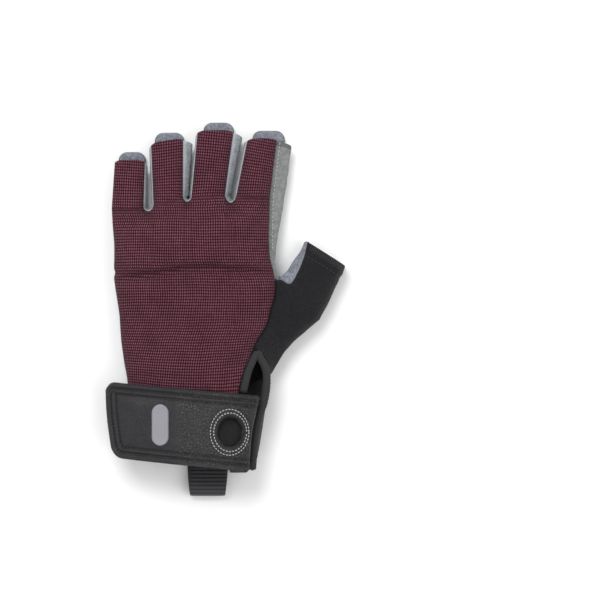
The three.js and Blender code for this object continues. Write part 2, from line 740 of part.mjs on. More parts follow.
function fourchette(f) {
  const seam = crotchSeams[f];
  const crotch = CROTCHES[f];
  const half = (seam.length - 1) / 2;
  return sideWall(seam, (k) => {
    const s = Math.abs(k - half) / half;
    const tip = k < half ? crotch.bulge_left : crotch.bulge_right;
    return mix(crotch.bulge_base, tip, s * s) * CROTCH_BULGE;
  });
}

function indexSidePanel() {
  return sideWall(indexSeam, (k) => SIDE_BULGE * column(SIDE_ROWS, 'bulge', alongAt(indexSeam[k].j)));
}

// Thumb back: from the knit's edge over the thumb and round its outer side to the palm-side seam.

const lowerThumbStations = [0, 0.14, 0.28, 0.4, 0.55, 0.7, 0.85];

function slitSide(r) {
  const share = Math.min(1, r / 0.36);
  const outer = handPoint({ x: 0.5, y: 0.1 }, HAND_HEIGHT * 0.6);
  const middle = handPoint({ x: 0.476, y: 0.165 }, HAND_HEIGHT * 0.7);
  const apex = handPoint({ x: 0.422, y: 0.222 }, HAND_HEIGHT * 0.775);
  return through([outer, middle, apex], share);
}

function thumbLeft(r) {
  if (r < 0.36) return slitSide(r);
  const along = mix(0.222, crotchShare, (r - 0.36) / 0.64);
  const edge = backPoint(lastColumn, along);
  edge.x += SEAM_GAP;
  return edge;
}

function thumbBackPoint(i, j) {
  const c = i / THUMB_BACK_COLUMNS;
  let left;
  let outer;
  let under;
  let crown;
  if (j < lowerThumbStations.length) {
    const r = lowerThumbStations[j];
    left = thumbLeft(r);
    outer = outerEdge(r);
    under = underEdge(r);
    crown = mix(HAND_HEIGHT * 0.5, crownHeight(0), r);
  } else {
    const at = j === lowerThumbStations.length ? 0 : THUMB_STATIONS[j - lowerThumbStations.length - 1];
    left = thumbRail('seam', at, seamHeight(at));
    outer = thumbRail('outer', at, THUMB_HEIGHT * 0.48);
    under = thumbRail('under', at, 0);
    const way = outer.clone().sub(left).setZ(0).normalize();
    left.addScaledVector(way, SEAM_GAP / 2);
    crown = crownHeight(at);
  }
  under = underSeam(outer, under, 1);
  const rise = left.clone().lerp(outer, 0.45).setZ(Math.max(crown, mix(left.z, outer.z, 0.3)));
  const shoulder = left.clone().lerp(outer, 0.86).setZ(mix(outer.z, crown, 0.72));
  const heel = outer.clone().lerp(under, 0.14).setZ(1.4);
  const sole = outer.clone().lerp(under, 0.45).setZ(0);
  const point = through([left, rise, shoulder, outer, heel, sole, under], c);
  if (j === 0 && c > 0.5) point.y = wristLine(point.x);
  return liftUnder(point);
}

function thumbBack() {
  const rows = lowerThumbStations.length + THUMB_STATIONS.length;
  return wall({
    columns: THUMB_BACK_COLUMNS,
    rows,
    place: thumbBackPoint,
    thickness: THUMB_WALL,
    direction: (i, j, inward) => {
      if (i === 0) return new THREE.Vector3(0, 0, -1);
      if (i === THUMB_BACK_COLUMNS) return new THREE.Vector3(0, 0, 1);
      return j === 0 ? acrossOnly(inward) : inward;
    },
  });
}

// Cuff

const cuffStations = [0, 0.2, 0.4, 0.6, 0.8, 1];

function cuffBase() {
  return wall({
    columns: lastColumn,
    rows: cuffStations.length - 1,
    place: (i, j) => {
      const along = (-cuffStations[j] * CUFF_WIDTH) / HAND_LENGTH;
      const leftEdge = column(BACK_ROWS, 'left', along) * KNUCKLE_BREADTH;
      const rightEdge = column(BACK_ROWS, 'right', along) * KNUCKLE_BREADTH;
      const y = along * HAND_LENGTH - SEAM_GAP + wristSlope(i, 0);
      const lift = i === 0 ? SEAM_GAP / 2 : 0;
      const x = mix(leftEdge, rightEdge, across(i));
      return new THREE.Vector3(x, y, backHeight(i, along) + lift);
    },
    facing: -1,
    thickness: CUFF_WALL,
    direction: (i, j, inward) => {
      if (i === 0) return new THREE.Vector3(1, 0, 0);
      if (i === lastColumn) return new THREE.Vector3(0, 0, -1);
      return acrossOnly(inward);
    },
  });
}

const ELASTIC_COLUMNS = 22;
const ELASTIC_TURN = 1.12;

function elasticPoint(i, j) {
  const share = cuffStations[j];
  const along = (-share * CUFF_WIDTH) / HAND_LENGTH;
  const leftEdge = column(BACK_ROWS, 'left', along) * KNUCKLE_BREADTH;
  const rightEdge = mix(0.502, 0.42, share) * KNUCKLE_BREADTH;
  const turn = Math.PI * (1 + (ELASTIC_TURN * i) / ELASTIC_COLUMNS);
  const centre = (leftEdge + rightEdge) / 2;
  const half = (rightEdge - leftEdge) / 2;
  const round = (value, power) => Math.sign(value) * Math.pow(Math.abs(value), 2 / power);
  const seam = SIDE_SEAM_HEIGHT - SEAM_GAP / 2;
  const power = turn > 2 * Math.PI ? 2 : 3.6;
  const reach = turn > 2 * Math.PI ? HAND_HEIGHT - seam : seam - CUFF_LIFT;
  const x = centre + half * round(Math.cos(turn), power);
  const y = mix(wristLine(x) - SEAM_GAP, -CUFF_WIDTH, share);
  return new THREE.Vector3(x, y, seam + reach * round(Math.sin(turn), power));
}

function cuffElastic() {
  return wall({
    columns: ELASTIC_COLUMNS,
    rows: cuffStations.length - 1,
    place: elasticPoint,
    thickness: ELASTIC_WALL,
    direction: (i, j, inward) => (i === 0 ? new THREE.Vector3(1, 0, 0) : acrossOnly(inward)),
  });
}

// Closure strap

function strapHeight(x) {
  const share = (x / KNUCKLE_BREADTH - STRAP_CENTRE) / (2 * STRAP_SPREAD) + 0.5;
  return mix(SIDE_SEAM_HEIGHT - STRAP_END_DROP, HAND_HEIGHT + STRAP_STAND, dome(share, 2.4));
}

// Plan position on the strap, u from its free left end to the binding, v from its top edge down.
function strapPlan(u, v) {
  const leftEdge = column(STRAP_ROWS, 'left', v, 'share') * KNUCKLE_BREADTH;
  const rightEdge = column(STRAP_ROWS, 'right', v, 'share') * KNUCKLE_BREADTH;
  const fromEnd = u * (rightEdge - leftEdge);
  const past = 1 - Math.min(1, fromEnd / STRAP_CORNER);
  const corner = STRAP_CORNER * (1 - Math.sqrt(1 - past * past));
  const top = (STRAP_TOP - STRAP_FALL * u) * HAND_LENGTH;
  const end = v < 0.5 ? corner : -corner;
  const y = top - v * STRAP_WIDTH - end * Math.abs(2 * v - 1);
  return new THREE.Vector2(mix(leftEdge, rightEdge, u), y);
}

const STRAP_STATIONS = [0, 0.015, 0.04, 0.08, 0.15, 0.24, 0.34, 0.45, 0.56, 0.67, 0.78, 0.89, 1];

function closureStrap() {
  const strap = wall({
    columns: STRAP_STATIONS.length - 1,
    rows: 6,
    place: (i, j) => {
      const p = strapPlan(STRAP_STATIONS[i], j / 6);
      return new THREE.Vector3(p.x, p.y, strapHeight(p.x));
    },
    facing: -1,
    thickness: STRAP_WALL,
  });
  const oval = new THREE.Shape();
  oval.absellipse(0, 0, EYELET_BREADTH / 2, EYELET_LENGTH / 2, 0, 2 * Math.PI);
  const cut = { depth: HAND_HEIGHT, bevelEnabled: false, curveSegments: 20 };
  const cutter = new THREE.ExtrudeGeometry(oval, cut);
  cutter.translate(EYELET_X * KNUCKLE_BREADTH, EYELET_Y * HAND_LENGTH, HAND_HEIGHT / 2);
  return fromSolid(toSolid(strap).subtract(toSolid(cutter)));
}

// Embroidered bar on the strap, with round ends
function strapBadge() {
  const centre = handPoint({ x: BADGE_X, y: BADGE_Y }, 0);
  const steps = 10;
  return wall({
    columns: 4,
    rows: steps,
    place: (i, j) => {
      const v = (1 - Math.cos((Math.PI * j) / steps)) / 2;
      const y = (v - 0.5) * BADGE_LENGTH;
      const straight = BADGE_LENGTH / 2 - BADGE_BREADTH / 2;
      const past = Math.max(0, Math.abs(y) - straight) / (BADGE_BREADTH / 2);
      const half = (BADGE_BREADTH / 2) * Math.sqrt(Math.max(0.04, 1 - past * past));
      const x = centre.x + (i / 2 - 1) * half;
      return new THREE.Vector3(x, centre.y + y, strapHeight(x) + SEAM_GAP + BADGE_WALL);
    },
    thickness: BADGE_WALL,
    direction: () => new THREE.Vector3(0, 0, -1),
  });
}

// Rolled binding: down the knit's slit edge is one branch, the other runs to the cuff's lower edge.
function slitBinding() {
  const beside = BINDING_BREADTH / 2 + SEAM_GAP;
  const points = [];
  for (const along of [0.01, 0.07, 0.13]) {
    const edge = backPoint(lastColumn, along);
    points.push(new THREE.Vector3(edge.x + beside, edge.y, edge.z - BINDING_HEIGHT * 0.3));
  }
  for (const row of BINDING_ROWS) {
    points.push(handPoint(row, row.height * HAND_HEIGHT - BINDING_HEIGHT * 0.3));
  }
  const path = new THREE.CatmullRomCurve3(points);
  const steps = 28;
  return wall({
    columns: steps,
    rows: 4,
    place: (i, j) => {
      const t = i / steps;
      const centre = path.getPoint(t);
      const run = path.getTangent(t);
      const side = new THREE.Vector3(run.y, -run.x, 0).normalize();
      const turn = (Math.PI * j) / 4;
      const reach = -Math.cos(turn) * (BINDING_BREADTH / 2);
      centre.z += (Math.sin(turn) * BINDING_HEIGHT) / 2;
      return centre.addScaledVector(side, reach);
    },
    thickness: BINDING_HEIGHT / 2,
    direction: () => new THREE.Vector3(0, 0, -1),
  });
}

// Reinforcement patch, flat under the palm, with an edge through its outline's points
function palmPatch() {
  const outline = new THREE.Shape();
  const points = PATCH_OUTLINE.map(({ x, y }) => new THREE.Vector2(x * KNUCKLE_BREADTH, y * HAND_LENGTH));
  outline.setFromPoints(new THREE.SplineCurve([...points, points[0]]).getPoints(36).slice(0, -1));
  const geometry = new THREE.ExtrudeGeometry(outline, { depth: PATCH_WALL, bevelEnabled: false });
  geometry.translate(0, 0, FINGER_LIFT - SEAM_GAP - PATCH_WALL);
  return geometry;
}

// Pull tabs: flat folded suede, sewn to the palm's edge at each fingertip
function fingerTab(f) {
  const stall = FINGERS[f];
  const outline = new THREE.Shape();
  const half = (stall.tab * KNUCKLE_BREADTH) / 2;
  outline.moveTo(-half, 0);
  outline.lineTo(half, 0);
  outline.lineTo(half, TAB_REACH - TAB_CORNER);
  outline.absarc(half - TAB_CORNER, TAB_REACH - TAB_CORNER, TAB_CORNER, 0, Math.PI / 2);
  outline.absarc(-half + TAB_CORNER, TAB_REACH - TAB_CORNER, TAB_CORNER, Math.PI / 2, Math.PI);
  outline.lineTo(-half, 0);
  const cut = { depth: TAB_WALL, bevelEnabled: false, curveSegments: 6 };
  const geometry = new THREE.ExtrudeGeometry(outline, cut);
  const start = fingerStart[f];
  const centre = plan(start, 2).add(plan(start + FINGER_COLUMNS, 2)).multiplyScalar(0.5);
  const x = centre.x + stall.tab_set * KNUCKLE_BREADTH;
  geometry.translate(x, centre.y - PALM_SETBACK + SEAM_GAP, FINGER_LIFT);
  return geometry;
}

// A strip of webbing folded back on itself, seen from its side and extruded across. start is where
// both ends lie under the cuff, and the strip lies flat as far as the knee.
function foldedLoop({ centreX, breadth, reach, opening, start, knee }) {
  const end = -CUFF_WIDTH - reach;
  const low = WEBBING_WALL / 2;
  const high = low + WEBBING_WALL + SEAM_GAP;
  const crown = low + opening + WEBBING_WALL;
  const radius = (crown - low) / 2;
  const past = (share) => mix(knee, end + WEBBING_WALL / 2 + radius, share);
  const centreLine = new THREE.CatmullRomCurve3([
    new THREE.Vector3(0, start, high),
    new THREE.Vector3(0, mix(start, knee, 0.8), high),
    new THREE.Vector3(0, knee, high),
    new THREE.Vector3(0, past(0.5), mix(high, crown, 0.62)),
    new THREE.Vector3(0, past(1), crown),
    new THREE.Vector3(0, end + WEBBING_WALL / 2, low + radius),
    new THREE.Vector3(0, past(1), low),
    new THREE.Vector3(0, past(0.3), low),
    new THREE.Vector3(0, mix(start, knee, 0.8), low),
    new THREE.Vector3(0, start, low),
  ], false, 'centripetal');
  const steps = 26;
  return wall({
    columns: steps,
    rows: 1,
    place: (i, j) => {
      const t = i / steps;
      const centre = centreLine.getPoint(t);
      centre.z = Math.max(low, centre.z);
      const run = centreLine.getTangent(t);
      const out = new THREE.Vector3(0, run.z, -run.y).normalize();
      return centre
        .addScaledVector(out, WEBBING_WALL / 2)
        .add(new THREE.Vector3(centreX + (j - 0.5) * breadth, 0, 0));
    },
    facing: 1,
    thickness: WEBBING_WALL,
    direction: (i) => {
      const run = centreLine.getTangent(i / steps);
      return new THREE.Vector3(0, -run.z, run.y).normalize();
    },
  });
}

// Materials

const finish = {
  knit: new THREE.MeshStandardMaterial({ color: 0x5c2036, roughness: 0.9, metalness: 0 }),
  suede: new THREE.MeshStandardMaterial({ color: 0x8d949d, roughness: 0.95, metalness: 0 }),
  black: new THREE.MeshStandardMaterial({ color: 0x232327, roughness: 0.85, metalness: 0 }),
  leather: new THREE.MeshStandardMaterial({ color: 0x2c2c2e, roughness: 0.5, metalness: 0 }),
  elastic: new THREE.MeshStandardMaterial({ color: 0x27272b, roughness: 0.8, metalness: 0 }),
  webbing: new THREE.MeshStandardMaterial({ color: 0x2e2e31, roughness: 0.8, metalness: 0 }),
  thread: new THREE.MeshStandardMaterial({ color: 0xb4b6ba, roughness: 0.6, metalness: 0 }),
};

// Assembly

const glove = new THREE.Group();

function add(name, geometry, material) {
  const mesh = new THREE.Mesh(geometry, material);
  mesh.name = name;
  glove.add(mesh);
}

add('back_panel', backPanel(), finish.knit);
add('palm_panel', palmPanel(), finish.suede);
CROTCHES.forEach((crotch, f) => add(`fourchette_${crotch.name}`, fourchette(f), finish.suede));
add('index_side_panel', indexSidePanel(), finish.suede);
add('thumb_back', thumbBack(), finish.black);
FINGERS.forEach((finger, f) => add(`tab_${finger.name}`, fingerTab(f), finish.suede));
add('palm_patch', palmPatch(), finish.suede);
add('cuff_base', cuffBase(), finish.black);
add('cuff_elastic', cuffElastic(), finish.elastic);
add('closure_strap', closureStrap(), finish.leather);
add('strap_badge', strapBadge(), finish.thread);
add('slit_binding', slitBinding(), finish.black);
const pullLoop = foldedLoop({
  centreX: PULL_LOOP_X * KNUCKLE_BREADTH,
  breadth: WEBBING_WIDTH,
  reach: LOOP_REACH,
  opening: LOOP_OPENING,
  start: -SEAM_GAP * 2,
  knee: -CUFF_WIDTH,
});
add('pull_loop', pullLoop, finish.webbing);
for (const loop of HANG_LOOPS) {
  const folded = foldedLoop({
    centreX: PULL_LOOP_X * KNUCKLE_BREADTH + loop.beside * WEBBING_WIDTH,
    breadth: loop.breadth * WEBBING_WIDTH,
    reach: loop.reach * LOOP_REACH,
    opening: HANG_LOOP_OPENING,
    start: -CUFF_WIDTH + HANG_LOOP_TUCK,
    knee: -CUFF_WIDTH,
  });
  add(loop.name, folded, finish.webbing);
}

// The origin is the middle of the footprint, on the surface the glove lies on.
const box = new THREE.Box3().setFromObject(glove);
const middle = box.getCenter(new THREE.Vector3());
glove.position.set(-middle.x, -middle.y, -box.min.z);
glove.updateMatrixWorld(true);

export default glove;
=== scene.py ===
import math
import bmesh
import bpy
import numpy as np
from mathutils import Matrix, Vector, noise


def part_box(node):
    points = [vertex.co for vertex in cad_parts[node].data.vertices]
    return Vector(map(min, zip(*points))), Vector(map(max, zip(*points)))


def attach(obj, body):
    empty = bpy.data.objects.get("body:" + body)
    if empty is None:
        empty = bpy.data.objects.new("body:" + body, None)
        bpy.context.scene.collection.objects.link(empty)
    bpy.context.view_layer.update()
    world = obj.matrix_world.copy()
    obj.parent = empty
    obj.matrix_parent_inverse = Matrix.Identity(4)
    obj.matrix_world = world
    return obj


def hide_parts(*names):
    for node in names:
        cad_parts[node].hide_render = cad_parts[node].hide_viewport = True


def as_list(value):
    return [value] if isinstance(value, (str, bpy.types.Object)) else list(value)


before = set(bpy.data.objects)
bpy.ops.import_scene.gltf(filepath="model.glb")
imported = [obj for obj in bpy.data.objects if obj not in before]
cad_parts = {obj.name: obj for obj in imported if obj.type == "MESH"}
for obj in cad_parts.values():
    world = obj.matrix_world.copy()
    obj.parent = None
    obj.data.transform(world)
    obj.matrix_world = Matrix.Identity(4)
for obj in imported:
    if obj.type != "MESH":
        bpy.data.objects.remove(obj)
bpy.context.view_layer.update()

scene = bpy.context.scene

# Named sizes of the glove in millimetres, as in the part's source
KNUCKLE_BREADTH = 85.8
HAND_LENGTH = 102.6
FINGER_LENGTH = 35.4
HAND_HEIGHT = 25
SIDE_SEAM_HEIGHT = 9.5
FINGER_HEIGHT = 16
FINGER_SEAM_HEIGHT = 10.5
FINGER_UNDER_SEAM_HEIGHT = 4
FINGER_LIFT = 1.2
PALM_SETBACK = 3.4
THUMB_LENGTH = 25
THUMB_BREADTH = 28
THUMB_HEIGHT = 16.5
THUMB_ANGLE = 33.5
THUMB_CROTCH_WIDTH = 2
WRIST_DROP = 5
CUFF_WIDTH = 37
CUFF_LIFT = 3.2
KNIT_WALL = 1.3
SUEDE_WALL = 1.8
FOURCHETTE_WALL = 1
THUMB_WALL = 1.3
CUFF_WALL = 1.8
ELASTIC_WALL = 1.6
SEAM_GAP = 0.4
CROTCH_TUCK = 2.5
STRAP_WALL = 2.2
STRAP_WIDTH = 39.6
STRAP_CORNER = 5
EYELET_BREADTH = 14
EYELET_LENGTH = 16.7
BADGE_BREADTH = 9
BADGE_LENGTH = 22
BADGE_WALL = 0.8
BINDING_BREADTH = 4.2
BINDING_HEIGHT = 3
PATCH_WALL = 0.7
TAB_WALL = 1.9
TAB_REACH = 7.6
TAB_CORNER = 4.5
WEBBING_WIDTH = 20
WEBBING_WALL = 1.1
LOOP_REACH = 20.5
LOOP_OPENING = 5.8
CROTCH_BULGE = 4.6
SIDE_BULGE = 6.6
SIDE_UNDER = 3

FINGERS = [
    dict(name="little", breadth=0.204, tip=0.194, lean=0.0145, tab=0.166, tab_set=0.0105, under=0.2, length=0.73,
         left=-0.042, right=-0.042, tilt=0),
    dict(name="ring", breadth=0.189, tip=0.206, lean=-0.0075, tab=0.18, tab_set=0.0125, under=1, length=0.921,
         left=-0.026, right=0.0155, tilt=0.08),
    dict(name="middle", breadth=0.2145, tip=0.23, lean=0.0457, tab=0.1855, tab_set=0.0185, under=1, length=1,
         left=0.0155, right=0.026, tilt=0),
    dict(name="index", breadth=0.2145, tip=0.19, lean=0.056, tab=0.197, tab_set=0.04, under=1, length=0.876,
         left=0.026, right=0.0155, tilt=0),
]
CROTCHES = [
    dict(name="little_ring", width=0.0595, dip=0.0555, bulge=(0.14, 0.24, 0.22)),
    dict(name="ring_middle", width=0.05, dip=0.005, bulge=(0.65, 0.22, 0.2)),
    dict(name="middle_index", width=0.0685, dip=0.0107, bulge=(0.59, 0.26, 0.33)),
]
# along, left, right, top, right_edge
BACK_ROWS = [
    (-0.38, -0.371, 0.355, 1, 0.82), (-0.16, -0.388, 0.355, 1, 0.82), (-0.06, -0.395, 0.305, 1, 0.84),
    (0, -0.399, 0.299, 0.98, 0.84), (0.07, -0.406, 0.318, 0.97, 0.83), (0.14, -0.421, 0.346, 0.97, 0.81),
    (0.2, -0.431, 0.381, 0.97, 0.79), (0.26, -0.44, 0.415, 0.97, 0.75), (0.34, -0.447, 0.475, 0.97, 0.68),
    (0.42, -0.453, 0.503, 0.98, 0.62), (0.5, -0.467, 0.529, 1, 0.57), (0.58, -0.481, 0.529, 1.01, 0.54),
    (0.62, -0.486, 0.522, 0.94, 0.53), (0.645, -0.479, 0.513, 0.87, 0.52), (0.67, -0.486, 0.505, 0.98, 0.51),
    (0.72, -0.485, 0.497, 1.04, 0.5), (0.8, -0.485, 0.494, 1.02, 0.48), (0.9, -0.494, 0.497, 0.93, 0.45),
    (1, -0.5, 0.5, 0.82, 0.42),
]
LEFT, RIGHT, TOP, RIGHT_EDGE = 1, 2, 3, 4
CROTCH_SHARE = 0.58
BLEND_START = 0.74
KNIT_BLEND_START = 0.86
# along, bulge, under
SIDE_ROWS = [(0.58, 0.06, 0), (0.7, 0.38, 0.35), (0.85, 0.67, 0.7), (1, 0.91, 1), (2, 0.9, 1.2)]
# at, then along, across and height of the seam, along, across and height of the inner rail,
# along and across of the outer rail and of the under rail, and the crown
THUMB_ROWS = [
    (0, -0.01, 0.03, 0.8, 0.02, 0, 0.72, -0.24, 1.11, -0.46, 0.71, 1.03),
    (0.25, 0.04, 0.25, 0.86, 0.24, 0.055, 0.56, 0.06, 1.08, -0.12, 0.77, 1),
    (0.5, 0.34, 0.25, 0.85, 0.48, 0.05, 0.5, 0.38, 1.035, 0.22, 0.77, 0.97),
    (0.75, 0.68, 0.19, 0.82, 0.74, 0.06, 0.5, 0.71, 0.995, 0.6, 0.73, 0.95),
    (1, 1, 0.09, 0.78, 0.98, 0.03, 0.5, 1.02, 0.93, 0.99, 0.68, 0.93),
]
SEAM, INNER, OUTER, UNDER, CROWN = 1, 4, 7, 9, 11
WRIST_OUTER, WRIST_UNDER, WRIST_PALM = 0.506, 0.242, 0.154
WRIST_OUTER_HEIGHT = 0.4
WRIST_RISE = 0.082
THUMB_EDGE_BOW = 2.7
HEEL_SHARE = 0.14
FRONT_START, FRONT_END = 0.5, 0.62
# x, y, height
BINDING_ROWS = [
    (0.416, 0.192, 0.78), (0.438, 0.17, 0.76), (0.462, 0.135, 0.745), (0.478, 0.09, 0.735), (0.478, 0.02, 0.73),
    (0.462, -0.06, 0.735), (0.431, -0.14, 0.75), (0.412, -0.22, 0.76), (0.398, -0.32, 0.765), (0.388, -0.42, 0.77),
]
# share, left, right
STRAP_ROWS = [(0, -0.535, 0.434), (0.35, -0.529, 0.396), (0.6, -0.517, 0.379), (1, -0.488, 0.368)]
STRAP_TOP, STRAP_FALL = 0.041, 0.072
STRAP_END_DROP = 1.5
STRAP_STAND = 3.4
STRAP_CENTRE, STRAP_SPREAD = 0.03, 0.585
EYELET_X, EYELET_Y = 0.252, -0.216
# where the strap's leather turns pebbled, and the span past which it is painted darker, painted shade
SMOOTH_END, PEBBLE_START, SHADE_SPAN = -27, -22, (2, 10)
BADGE_X, BADGE_Y = -0.185, -0.178
PATCH_OUTLINE = [
    (0.455, 0.95), (0.4, 0.945), (0.33, 0.905), (0.235, 0.845), (0.18, 0.79), (0.165, 0.73),
    (0.18, 0.675), (0.225, 0.64), (0.4, 0.64), (0.445, 0.655), (0.462, 0.71), (0.465, 0.8),
]
PULL_LOOP_X = 0.116
HANG_LOOP_TUCK = 8
# node, centre from the pull loop's, breadth, reach, opening
HANG_LOOPS = [("hang_loop_little", -0.905, 0.4, 0.12, 1.2), ("hang_loop_thumb", 0.79, 0.475, 0.39, 2.4)]

# The plan's own origin is the middle of the wrist line. The pull loop's sides and the middle finger's tab
# give where that lies in the frame.
pull_low, pull_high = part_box("pull_loop")
OFFSET = np.array([
    (pull_low.x + pull_high.x) * 500 - PULL_LOOP_X * KNUCKLE_BREADTH,
    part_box("tab_middle")[1].y * 1000
    - (HAND_LENGTH * (1 + 0.02075) + FINGER_LENGTH - PALM_SETBACK + SEAM_GAP + TAB_REACH),
    0,
])


# Numbers and curves

def mix(a, b, t):
    return a + (b - a) * t


def ease(t):
    s = min(1, max(0, t))
    return s * s * (3 - 2 * s)


def ease_all(t):
    s = np.clip(t, 0, 1)
    return s * s * (3 - 2 * s)


def hermite(a, b, slope_a, slope_b, span, t):
    t2, t3 = t * t, t * t * t
    place = (2 * t3 - 3 * t2 + 1) * a + (3 * t2 - 2 * t3) * b
    return place + span * ((t3 - 2 * t2 + t) * slope_a + (t3 - t2) * slope_b)


def column(table, key, at):
    """One column of a table, on a smooth curve between its rows."""
    last = len(table) - 1
    k = 0
    while k < last - 1 and at > table[k + 1][0]:
        k += 1

    def slope(n):
        before, after = table[max(0, n - 1)], table[min(last, n + 1)]
        return (after[key] - before[key]) / (after[0] - before[0])

    span = table[k + 1][0] - table[k][0]
    t = min(1, max(0, (at - table[k][0]) / span))
    return hermite(table[k][key], table[k + 1][key], slope(k), slope(k + 1), span, t)


def through(points, t):
    """A smooth curve through a few points, t from 0 to 1."""
    last = len(points) - 1
    k = min(last - 1, int(math.floor(t * last)))

    def slope(n):
        a, b = max(0, n - 1), min(last, n + 1)
        return (points[b] - points[a]) / (b - a)

    return hermite(points[k], points[k + 1], slope(k), slope(k + 1), 1, t * last - k)


def bell(away, width):
    return np.exp(-(away / width) ** 2)


def dome(share, power):
    """0 at both ends and 1 in the middle."""
    return max(0, 1 - abs(2 * share - 1) ** power) ** (1 / power)


def unit(v):
    v = np.asarray(v, float)
    return v / max(1e-12, np.linalg.norm(v))


def vec(x, y, z=0.0):
    return np.array([x, y, z], float)


UP, DOWN = vec(0, 0, 1), vec(0, 0, -1)


def ruffle(points, wavelength, seed):
    """Smooth noise of about -1 to 1 at each point of a grid, with folds of the wavelength in millimetres."""
    places = points.reshape(-1, 3) / wavelength + (seed, 0, 0)
    return np.array([noise.noise(Vector(p)) for p in places]).reshape(points.shape[:-1])


def run_along(points):
    """How far along a line of points each one is."""
    return np.concatenate([[0], np.cumsum(np.linalg.norm(np.diff(points, axis=0), axis=1))])


def grid_of(columns, rows, place):
    return np.array([[place(i, j) for j in range(rows + 1)] for i in range(columns + 1)])


def uv_of(across, down):
    """Flat places on the cloth, in millimetres."""
    return np.stack(np.broadcast_arrays(across, down), axis=2).astype(float)


# Closed cloth meshes from grids

def cells_beside(cells):
    """How many of the four cells round each point are marked."""
    count = np.zeros((cells.shape[0] + 1, cells.shape[1] + 1), int)
    for di in (0, 1):
        for dj in (0, 1):
            count[di:di + cells.shape[0], dj:dj + cells.shape[1]] += cells
    return count


def shell(name, grid, uv, thickness, cells=None, way=None, rim=0.3, relief=None, inner_relief=0.35, facing=1):
    """A closed wall whose outer face is grid, in millimetres of the plan. cells says which cells are cloth,
    way(i, j, inward) may give the direction from the outer face to the inner, relief moves the outer face
    along its normal, and the rims are rounded."""
    columns, rows = grid.shape[0] - 1, grid.shape[1] - 1
    if cells is None:
        cells = np.ones((columns, rows), bool)
    a = grid[1:, 1:] - grid[:-1, :-1]
    b = grid[:-1, 1:] - grid[1:, :-1]
    cross = np.cross(np.nan_to_num(a), np.nan_to_num(b)) * cells[..., None] * facing
    normals = np.zeros_like(grid)
    inward_sum = np.zeros_like(grid)
    centre = (grid[1:, 1:] + grid[:-1, :-1] + grid[1:, :-1] + grid[:-1, 1:]) / 4
    for di in (0, 1):
        for dj in (0, 1):
            part = (slice(di, columns + di), slice(dj, rows + dj))
            normals[part] += cross
            inward_sum[part] += np.nan_to_num(centre - grid[part]) * cells[..., None]
    normals /= np.maximum(1e-9, np.linalg.norm(normals, axis=2))[..., None]
    points = np.nan_to_num(grid)
    moved = points if relief is None else points + normals * relief[..., None]
    inside = -normals
    count = cells_beside(cells)
    used = count > 0
    if way is not None:
        for i, j in np.argwhere(used):
            chosen = way(int(i), int(j), -normals[i, j])
            if chosen is not None:
                inside[i, j] = chosen
    inner = points if relief is None else points + normals * (relief * inner_relief)[..., None]
    inner = inner + inside * thickness
    wall = inner - moved
    number = np.full(grid.shape[:2], -1)
    number[used] = np.arange(used.sum())
    total = int(used.sum())
    # the rim stands square to the grid's own border, however skewed the cells beside it are
    for line in ((0, slice(None)), (-1, slice(None)), (slice(None), 0), (slice(None), -1)):
        run = np.gradient(np.where(used[line][:, None], points[line], np.nan), axis=0)
        run = np.nan_to_num(run / np.maximum(1e-9, np.linalg.norm(run, axis=1))[:, None])
        inward_sum[line] -= run * (inward_sum[line] * run).sum(1)[:, None]
    outward = -inward_sum / np.maximum(1e-9, np.linalg.norm(inward_sum, axis=2))[..., None]
    soft = used & (count < 4)
    moved = np.where(soft[..., None], moved + wall * rim * 0.5, moved)
    inner = np.where(soft[..., None], inner - wall * rim * 0.5, inner)
    middle = (moved + inner) / 2 + outward * (thickness * rim * 0.5)
    rim_number = np.full(grid.shape[:2], -1)
    rim_number[soft] = np.arange(soft.sum()) + 2 * total
    positions = np.concatenate([moved[used], inner[used], middle[soft]]) + OFFSET
    # nothing reaches below the surface that the glove lies on
    positions[:, 2] = np.maximum(0, positions[:, 2])
    faces = []
    for i in range(columns):
        for j in range(rows):
            if not cells[i, j]:
                continue
            ring = [(i, j), (i + 1, j), (i + 1, j + 1), (i, j + 1)]
            ids = [number[c] for c in ring]
            faces.append(ids)
            faces.append([ids[3] + total, ids[2] + total, ids[1] + total, ids[0] + total])
            for side, (p, q) in enumerate([(i, j - 1), (i + 1, j), (i, j + 1), (i - 1, j)]):
                if 0 <= p < columns and 0 <= q < rows and cells[p, q]:
                    continue
                following = (side + 1) % 4
                first, second = rim_number[ring[side]], rim_number[ring[following]]
                faces.append([ids[side], first, second, ids[following]])
                faces.append([first, ids[side] + total, ids[following] + total, second])
    flat = np.concatenate([uv[used], uv[used], uv[soft]])
    return make(name, positions / 1000, faces, flat)


def make(name, positions, faces, uv=None):
    mesh = bpy.data.meshes.new(name)
    mesh.from_pydata([tuple(p) for p in positions], [], [tuple(int(v) for v in f) for f in faces])
    if uv is not None:
        layer = mesh.uv_layers.new(name="UVMap")
        loops = np.zeros(len(mesh.loops), np.int64)
        mesh.loops.foreach_get("vertex_index", loops)
        layer.data.foreach_set("uv", np.asarray(uv, float)[loops].ravel())
    mesh.validate()
    mesh.shade_smooth()
    work = bmesh.new()
    work.from_mesh(mesh)
    if work.calc_volume(signed=True) < 0:
        mesh.flip_normals()
    work.free()
    piece = bpy.data.objects.new(name, mesh)
    scene.collection.objects.link(piece)
    return piece


def tube_faces(base, rings, n):
    """Faces that join rings of n points, from point base on, with a face across both ends."""
    faces = []
    last = base + (rings - 1) * n
    for p in range(base, last, n):
        for k in range(n):
            m = (k + 1) % n
            faces.append([p + k, p + m, p + n + m, p + n + k])
    return faces + [list(range(base + n - 1, base - 1, -1)), list(range(last, last + n))]


def finish_piece(piece, slot, material, *nodes):
    piece.data.materials.append(material)
    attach(piece, "root")
    if nodes:
        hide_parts(*nodes)
    return piece


# Grid of the hand: columns across, rows from the wrist to the fingertips

